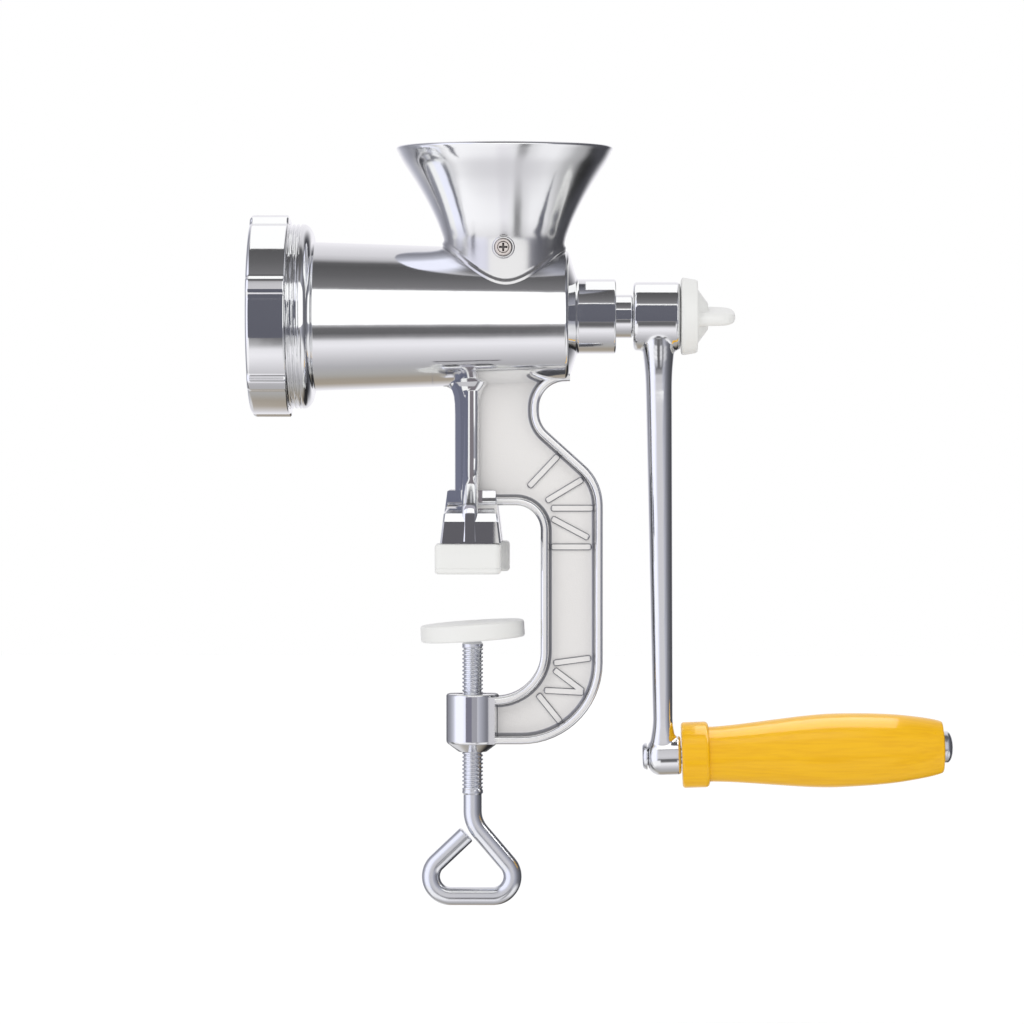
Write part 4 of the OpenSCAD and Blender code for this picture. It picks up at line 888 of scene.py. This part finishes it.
drills = [drill(given["Centre hole"], 48)]
for k in range(HOLE_CIRCLES):
    radius = given["First radius"] + given["Step"] * k
    half_angle = (given["Spacing"] / 2 / radius).maths("ARCSINE")
    count = (math.pi / half_angle).maths("FLOOR")
    places = tree("GeometryNodeMeshCircle", {"Vertices": count, "Radius": radius})
    drills.append(tree("GeometryNodeInstanceOnPoints", {
        "Points": places, "Instance": drill(given["Hole radius"], 28)}))
joined = tree("GeometryNodeJoinGeometry", {"Geometry": drills})
solid = tree("GeometryNodeRealizeInstances", {"Geometry": joined})
cut = tree("GeometryNodeMeshBoolean", {"Mesh 1": given["Geometry"], "Mesh 2": solid},
           operation="DIFFERENCE", solver="EXACT")
end_group(tree, cut, given["Material"])
half = PLATE_THICK / 2
plate = lathe("grinding_plate_disc", rounded([
    (0, -half), (PLATE_R, -half, 0.5), (PLATE_R, half, 0.5), (0, half)]), UPRIGHT)
run_group(plate, group, {"Material": named_material("ground steel"),
                         **{label: size * MM for label, size in plate_sizes.items()}})
place = ALONG_BARREL @ Matrix.Translation((0, 0, PLATE_X + half))
place.translation *= MM
plate.data.transform(place)
notch = slab("notch", [(PLATE_X + 3 + u, AXIS_Z - PLATE_R + v) for u, v in box(4, NOTCH)], -NOTCH, NOTCH)
combine(plate, [notch], "DIFFERENCE")
keep(plate, "plate", ["grinding_plate"])

# %% [markdown]
# The two hopper screws share one head, which the node group puts at opposite sides of the skirt.

# %% Hopper screws
SEAT_Y = 23.95
group, tree, given = node_group("ring of heads", {"Count": "Int", "Radius": "Float"})
angle = tree("GeometryNodeInputIndex") * 2 * math.pi / given["Count"]
places = tree("GeometryNodePoints", {"Count": given["Count"], "Position": tree("ShaderNodeCombineXYZ", {
    "X": angle.maths("COSINE") * given["Radius"], "Y": angle.maths("SINE") * given["Radius"]})})
turn = tree("ShaderNodeCombineXYZ", {"Z": angle})
heads = tree("GeometryNodeInstanceOnPoints", {"Points": places, "Instance": given["Geometry"],
                                              "Rotation": turn})
end_group(tree, heads, given["Material"])

HEAD_R, HEAD_H, SHANK_R, SHANK_END = 3.5, 1.9, 1.9, -4.6
face = rounded([(HEAD_R, 0.02), (HEAD_R, HEAD_H, 1.1), (2.7, HEAD_H, 0.3), (2.35, 1.4, 0.3),
                (1.9, HEAD_H, 0.5), (0, HEAD_H)], closed=False)
OUTWARDS = Matrix.Rotation(math.pi / 2, 4, "Y")
head = lathe("hopper_screw_heads", [(0, SHANK_END), (SHANK_R, SHANK_END), (SHANK_R, 0.02)] + face,
             OUTWARDS, steps=64)
slots = [skin("slot", [[(x, u, v) for u, v in box(wide * size, high * size)]
                       for x, size in ((0.8, 0.6), (2.1, 1))], caps=True)
         for wide, high in ((1.7, 0.42), (0.42, 1.7))]
combine(head, slots, "DIFFERENCE")
run_group(head, group, {"Material": named_material("dull zinc"), "Count": 2, "Radius": SEAT_Y * MM})
head.data.transform(Matrix.Translation(Vector((HOPPER_X, 0, SCREW_Z)) * MM)
                    @ Matrix.Rotation(math.pi / 2, 4, "Z"))
shade(head)
keep(head, "frame", ["hopper_screws"])

# %% [markdown]
# ## Finishes
# Every finish is a Principled shader whose values come from noise in object space, so that no two
# castings look printed. `finish` builds one material, and a function for each finish gives what
# varies over its surface.

# %% Materials


ALUMINIUM = (0.9, 0.905, 0.91)


def fresh_tree(owner):
    """The emptied tree of a material or a world."""
    owner.use_nodes = True
    owner.node_tree.nodes.clear()
    return Tree(owner.node_tree)


def finish(name, colour, metallic, roughness, varied=None, coat=0.0, shine=0.5):
    """A Principled material; varied(tree) gives the wires of what varies over the surface."""
    material = named_material(name)
    tree = fresh_tree(material)
    shader = tree("ShaderNodeBsdfPrincipled", {
        "Base Color": (*colour, 1), "Metallic": metallic, "Roughness": roughness, "Coat Weight": coat,
        "Specular IOR Level": shine})
    tree("ShaderNodeOutputMaterial", {"Surface": shader})
    for socket, wire in (varied(tree) if varied else {}).items():
        tree.tree.links.new(wire.socket, shader.socket.node.inputs[socket])
    return material


def place_in(tree):
    return tree("ShaderNodeTexCoord", out=3)


def parts(tree, vector=None):
    """The X, Y and Z of a vector, or of the place in the object."""
    x = tree("ShaderNodeSeparateXYZ", {"Vector": vector or place_in(tree)})
    return x, tree.of(x, 1), tree.of(x, 2)


def noise(tree, scale, detail=3.0, stretch=(1, 1, 1)):
    """Even noise about 0.5 in object space; scale is in lumps per metre."""
    place = tree("ShaderNodeVectorMath", {0: place_in(tree), 1: stretch}, operation="MULTIPLY")
    return tree("ShaderNodeTexNoise", {"Vector": place, "Scale": scale, "Detail": detail})


def colours(tree, share, first, second):
    """Goes from one colour or wire to another with a share."""
    first, second = (end if isinstance(end, Wire) else (*end, 1) for end in (first, second))
    return tree("ShaderNodeMix", {"Factor": share, 6: first, 7: second}, out=2, data_type="RGBA")


def ease(tree, value, low, high):
    """0 below low, 1 above high."""
    return tree("ShaderNodeMapRange", {"Value": value, "From Min": low, "From Max": high},
                interpolation_type="SMOOTHSTEP")


def waves(tree, height, depth):
    """The normal of a surface that is depth millimetres high where height is 1."""
    return tree("ShaderNodeBump", {"Height": height, "Strength": 1.0, "Distance": depth * MM})


def polished(tree):
    """Polished casting: faint long waves and fine wear."""
    return {"Roughness": noise(tree, 900, 4) * 0.06 + 0.05,
            "Normal": waves(tree, noise(tree, 60, 2), 0.05)}


def buffed(tree):
    """A softer polish for the hopper, rougher and darker down its skirt."""
    low = ease(tree, parts(tree)[2], 134 * MM, 122 * MM)
    return {"Roughness": noise(tree, 700, 4) * 0.06 + 0.09 + low * 0.1,
            "Base Color": colours(tree, low, ALUMINIUM, (0.68, 0.675, 0.68)),
            "Normal": waves(tree, noise(tree, 60, 2), 0.05)}


def framed(tree):
    """Polished rims, with the recessed web left as cast and painted shade on the rounded faces down in
    the recess.
    """
    x, y, _ = parts(tree)
    facing = parts(tree, tree("ShaderNodeNewGeometry", out=1))[1]
    flat = ease(tree, abs(facing), 0.93, 0.99)
    inner = ease(tree, abs(y), 4.2 * MM, 3.6 * MM)
    web = flat * inner.maths("MAXIMUM", ease(tree, x, 8 * MM, 10 * MM) * 0.75)
    # edge picks the rounded faces down in the recess, the rib sides and the rim fillets, and the base
    # colour below lays a near-black painted shade on them.
    edge = (1.0 - flat) * inner
    bare = colours(tree, web, ALUMINIUM, (0.80, 0.783, 0.767))
    return {"Base Color": colours(tree, edge * 0.75, bare, (0.16, 0.16, 0.18)),
            "Metallic": web * -0.85 + 1.0,
            "Roughness": web.maths("MAXIMUM", edge) * 0.42 + (noise(tree, 900, 4) * 0.06 + 0.07),
            "Normal": waves(tree, noise(tree, 2600, 3) * web + noise(tree, 60, 2) * 0.7, 0.05)}


def ground(tree):
    """Ground steel: fine scratches along one way."""
    return {"Roughness": noise(tree, 5000, 2, (1, 1, 0.04)) * 0.18 + 0.16}


def plated(tree):
    """Bright zinc with a slightly blue, uneven sheen."""
    cloud = noise(tree, 120, 3)
    return {"Base Color": colours(tree, cloud, (0.80, 0.82, 0.86), (0.88, 0.885, 0.89)),
            "Roughness": cloud * 0.12 + 0.12}


def darker_down_the_head(tree):
    """Dull plating, darker down the side of the head and in its recess."""
    deep = ease(tree, abs(parts(tree)[1]), (SEAT_Y + HEAD_H - 0.2) * MM, (SEAT_Y + 1.2) * MM)
    return {"Base Color": colours(tree, deep, (0.62, 0.57, 0.545), (0.10, 0.09, 0.09)),
            "Roughness": noise(tree, 1500, 3) * 0.2 + 0.25}


def moulded(tree):
    """Nylon with a faint moulded grain."""
    return {"Normal": waves(tree, noise(tree, 1800, 2), 0.02)}


def varnished(tree):
    """Yellow varnish over wood whose grain runs along the grip."""
    grain = ease(tree, noise(tree, 900, 5, (0.05, 1, 1)), 0.35, 0.75)
    return {"Base Color": colours(tree, grain, (0.83, 0.455, 0.002), (0.77, 0.40, 0.002)),
            "Roughness": noise(tree, 500, 2) * 0.1 + 0.25}


aluminium = finish("polished aluminium", ALUMINIUM, 1.0, 0.14, polished)
spun = finish("buffed aluminium", ALUMINIUM, 1.0, 0.2, buffed)
frame_metal = finish("frame casting", ALUMINIUM, 1.0, 0.14, framed)
steel = finish("ground steel", (0.60, 0.60, 0.61), 1.0, 0.25, ground)
zinc = finish("zinc plate", (0.84, 0.85, 0.87), 1.0, 0.18, plated)
dull = finish("dull zinc", (0.6, 0.55, 0.52), 1.0, 0.3, darker_down_the_head)
nylon = finish("white nylon", (0.76, 0.76, 0.745), 0.0, 0.38, moulded)
wood = finish("varnished wood", (0.8, 0.45, 0.02), 0.0, 0.3, varnished, coat=0.35, shine=0.25)

worn = [
    (aluminium, "barrel_casting ring_nut_casting crank_arm_casting auger_casting"),
    (spun, "hopper_cone"),
    (frame_metal, "clamp_frame_casting"),
    (nylon, "upper_pad_near_shoe upper_pad_far_shoe clamp_pad_disc thumb_knob_moulding"),
    (nylon, "rear_bush thrust_washer"),
    (zinc, "clamp_screw_rod grip_end_cap_dome grip_spindle_rod plate_key thumb_stud swivel_pin"),
    (steel, "grinding_plate_disc knife_spigot cross_knife"),
    (dull, "hopper_screw_heads"),
    (wood, "grip_handle")]
for material, names in worn:
    for name in names.split():
        if name in pieces:
            pieces[name].data.materials.clear()
            pieces[name].data.materials.append(material)
        else:
            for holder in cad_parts[name].material_slots:
                holder.material = material
        print(name, "wears", material.name)

# %% [markdown]
# ## Studio
# Polished metal looks like what stands around it, so the world matters more than the lamps. Camera
# rays see plain white. Reflections see a studio of soft bands: one ramp over the angle about the
# barrel's axis, another over the angle about the vertical, and the second takes over to the sides.
# A third ramp, about the vertical too, is for what faces down.

# %% World
FLOOR_Z = -200
scene = bpy.context.scene
scene.view_settings.view_transform = "Standard"
world = bpy.data.worlds.new("studio")
scene.world = world
tree = fresh_tree(world)
dx, dy, dz = parts(tree, tree("ShaderNodeTexCoord", out=0))


def ramp(share, tint, stops):
    """A tinted grey ramp over an angle in degrees, from -180 to 180."""
    node = tree.tree.nodes.new("ShaderNodeValToRGB")
    band = node.color_ramp
    while len(band.elements) < len(stops):
        band.elements.new(0.5)
    for element, (angle, value) in zip(band.elements, stops):
        element.position = (angle + 180) / 360
        element.color = value if isinstance(value, tuple) else (*(value * t for t in tint), 1)
    tree.tree.links.new(share.socket, node.inputs[0])
    return Wire(tree, node.outputs[0])


def turn_share(up, front):
    """The angle of a direction, from 0 at -180 degrees to 1 at 180."""
    return tree("ShaderNodeMath", {0: up, 1: front}, operation="ARCTAN2") / (2 * math.pi) + 0.5


over = ramp(turn_share(dz, -dy), (1, 0.985, 1.03), [
    (-180, 0.95), (-157, 0.8), (-132, (0.40, 0.35, 0.29, 1)), (-118, (0.38, 0.34, 0.29, 1)),
    (-104, (0.43, 0.42, 0.41, 1)), (-87, 0.46), (-72, 0.6), (-59, 0.76), (-47, 0.92), (-40, 0.85),
    (-34, 0.3), (-28, 0.13), (-19, 0.15), (-13, 0.6), (0, 0.68), (36, 0.6), (46, 0.2), (66, 0.13),
    (84, 0.1), (92, 0.12), (101, 0.55), (112, 0.72), (150, 0.9), (180, 0.95)])
around = ramp(turn_share(dx, -dy), (0.95, 0.96, 1.1), [
    (-180, 0.8), (-150, 0.5), (-131, 0.28), (-112, 0.38), (-92, 0.62), (-78, 1.1), (-42, 1.1),
    (-30, 0.95), (-18, 0.85), (0, 0.66), (14, 0.58), (30, 0.5), (47, 0.36), (62, 0.24), (90, 0.14),
    (113, 0.1), (142, 0.07), (168, 0.12), (180, 0.5)])
below = ramp(turn_share(dx, -dy), (1, 0.995, 1.02), [
    (-180, 0.7), (-150, 0.72), (-130, 0.5), (-118, 0.16), (-107, 0.2), (-100, 0.95), (-88, 0.68),
    (-78, 1.05), (-40, 1.0), (0, 0.96), (17, 0.84), (23, 0.25), (31, 0.3), (37, 0.75), (54, 0.95),
    (74, 0.95), (88, 0.75), (99, 0.5), (112, 0.4), (122, 0.05), (136, 0.02), (160, 0.03), (180, 0.06)])
low = ease(tree, dz, -0.3, -0.5)
sides = ease(tree, abs(dx), 0.2, 0.55).maths("MAXIMUM", ease(tree, abs(dx), 0.05, 0.15) * low)
level = 1.0 - ease(tree, abs(dz), 0.7, 0.95)
seen = colours(tree, sides * level, over, colours(tree, low, around, below))
light_path = tree("ShaderNodeLightPath")
camera_ray, glossy_ray = tree.of(light_path, "Is Camera Ray"), tree.of(light_path, "Is Glossy Ray")
through_ray = tree.of(light_path, "Is Transmission Ray")
soft = tree("ShaderNodeBackground", {"Color": (1, 1, 1, 1), "Strength": 1.02})
mirror = tree("ShaderNodeBackground", {"Color": seen, "Strength": 1.0})
white = tree("ShaderNodeBackground", {"Color": (1, 1, 1, 1), "Strength": 1.0})
base = tree("ShaderNodeMixShader", {0: glossy_ray, 1: soft, 2: mirror})
plain = (camera_ray + through_ray).maths("MINIMUM", 1.0)
tree("ShaderNodeOutputWorld", {"Surface": tree("ShaderNodeMixShader", {0: plain, 1: base, 2: white})})

floor = new_piece("floor", [(x, y, FLOOR_Z) for x, y in box(3000, 3000)], [(0, 1, 2, 3)])
floor.data.materials.append(finish("floor paint", (0.99, 0.99, 0.99), 0.0, 0.9, shine=0))
floor.visible_glossy = False
print("floor at", FLOOR_Z)

# %% [markdown]
# Cards stand close to single forms and show only in what those reflect, so that a flat face, a rim or
# a rib gets the dark or bright band that the photo has there.

# %% Cards and lamp


def card(name, corners, strength, tint=(1, 1, 1), fade=None):
    """A glowing card that only reflections see, and only from its back, which is turned to the object.

    fade gives the widths of its soft left and right ends."""
    sheet = new_piece(name, corners, [(0, 1, 2, 3)])
    glow = bpy.data.materials.new(name)
    tree = fresh_tree(glow)
    light = tree("ShaderNodeEmission", {"Color": (*tint, 1), "Strength": strength})
    if fade:
        across = parts(tree)[0]
        left, right = corners[0][0] * MM, corners[1][0] * MM
        share = (ease(tree, across, left, left + fade[0] * MM)
                 * ease(tree, across, right, right - fade[1] * MM))
        light = tree("ShaderNodeMixShader", {0: share, 1: tree("ShaderNodeBsdfTransparent"), 2: light})
    behind = tree.of(tree("ShaderNodeNewGeometry"), "Backfacing")
    light = tree("ShaderNodeMixShader", {0: behind, 1: tree("ShaderNodeBsdfTransparent"), 2: light})
    tree("ShaderNodeOutputMaterial", {"Surface": light})
    sheet.data.materials.append(glow)
    sheet.visible_camera = sheet.visible_diffuse = False
    sheet.visible_shadow = sheet.visible_transmission = False
    return sheet


def upright(left, right, low, high, y):
    """The corners of a card that stands in front."""
    return [(left, y, low), (right, y, low), (right, y, high), (left, y, high)]


def lying(left, right, near, far, z):
    """The corners of a card that lies above."""
    return [(left, near, z), (right, near, z), (right, far, z), (left, far, z)]


cards = [
    card("barrel softbox", upright(-78, 200, 63, 219, -150), 1.2, fade=(14, 60)),
    card("ring nut flag", upright(-100, -66, 77, 112, -60), 0.13, (0.95, 0.97, 1.2)),
    card("ring nut light", lying(-92, -69, -30, 8, 155), 1.1),
    card("hub flag", upright(40, 86, 90, 115, -30), 0.13, (0.95, 0.97, 1.2)),
    card("hub light", lying(43, 82, -10, 8, 122), 1.1),
    card("leg side flag", [(-15, 6, 31), (-15, -14, 31), (-15, -14, 66), (-15, 6, 66)], 0.2,
         (0.9, 0.95, 1.3)),
    card("leg flag left", upright(-15, -4.3, 31, 69.5, -14), 0.17, (0.9, 0.95, 1.3)),
    card("leg strip", upright(-4.3, -1.8, 31, 69.5, -14), 1.0),
    card("leg flag right", upright(-1.8, 4, 31, 69.5, -14), 0.2, (1.05, 0.95, 1.05)),
    card("foot flag", upright(-13, 13, 9, 25, -30), 0.12, (1, 0.97, 1.1)),
    card("foot shade", upright(-13, 13, 27.2, 33, -24), 0.42, (0.98, 0.95, 1.08)),
    card("boss flag left", upright(-8, -0.5, -66, -46, -20), 0.2, (1, 0.98, 1.25)),
    card("boss flag right", upright(-0.5, 6, -66, -46, -20), 0.36, (1, 0.99, 1.1)),
    card("grip light", lying(84, 166, -16, 14, -29), 4.5)]
print(len(cards), "cards")

key_light = bpy.data.lights.new("key", "AREA")
key_light.energy, key_light.size = 3.0, 0.8
key = show("key", key_light)
key.location = (-0.5, -0.9, 1.1)
key.rotation_euler = (-key.location).to_track_quat("-Z", "Y").to_euler()
key.visible_glossy = False

# %% [markdown]
# ## Camera
# The picture was taken from far away with a long lens, level with the middle of the grinder and a
# little to its right. 0.38 mm of the object covers one pixel.

# %% Camera and sizes
camera = show("camera", bpy.data.cameras.new("camera"))
camera.location = Vector((48.5, -1800, 69.3)) * MM
aim = Vector((15.0, 0, 22.9)) * MM
camera.rotation_euler = (aim - camera.location).to_track_quat("-Z", "Y").to_euler()
camera.data.sensor_width = 36
camera.data.angle = math.radians(12.34)
scene.camera = camera
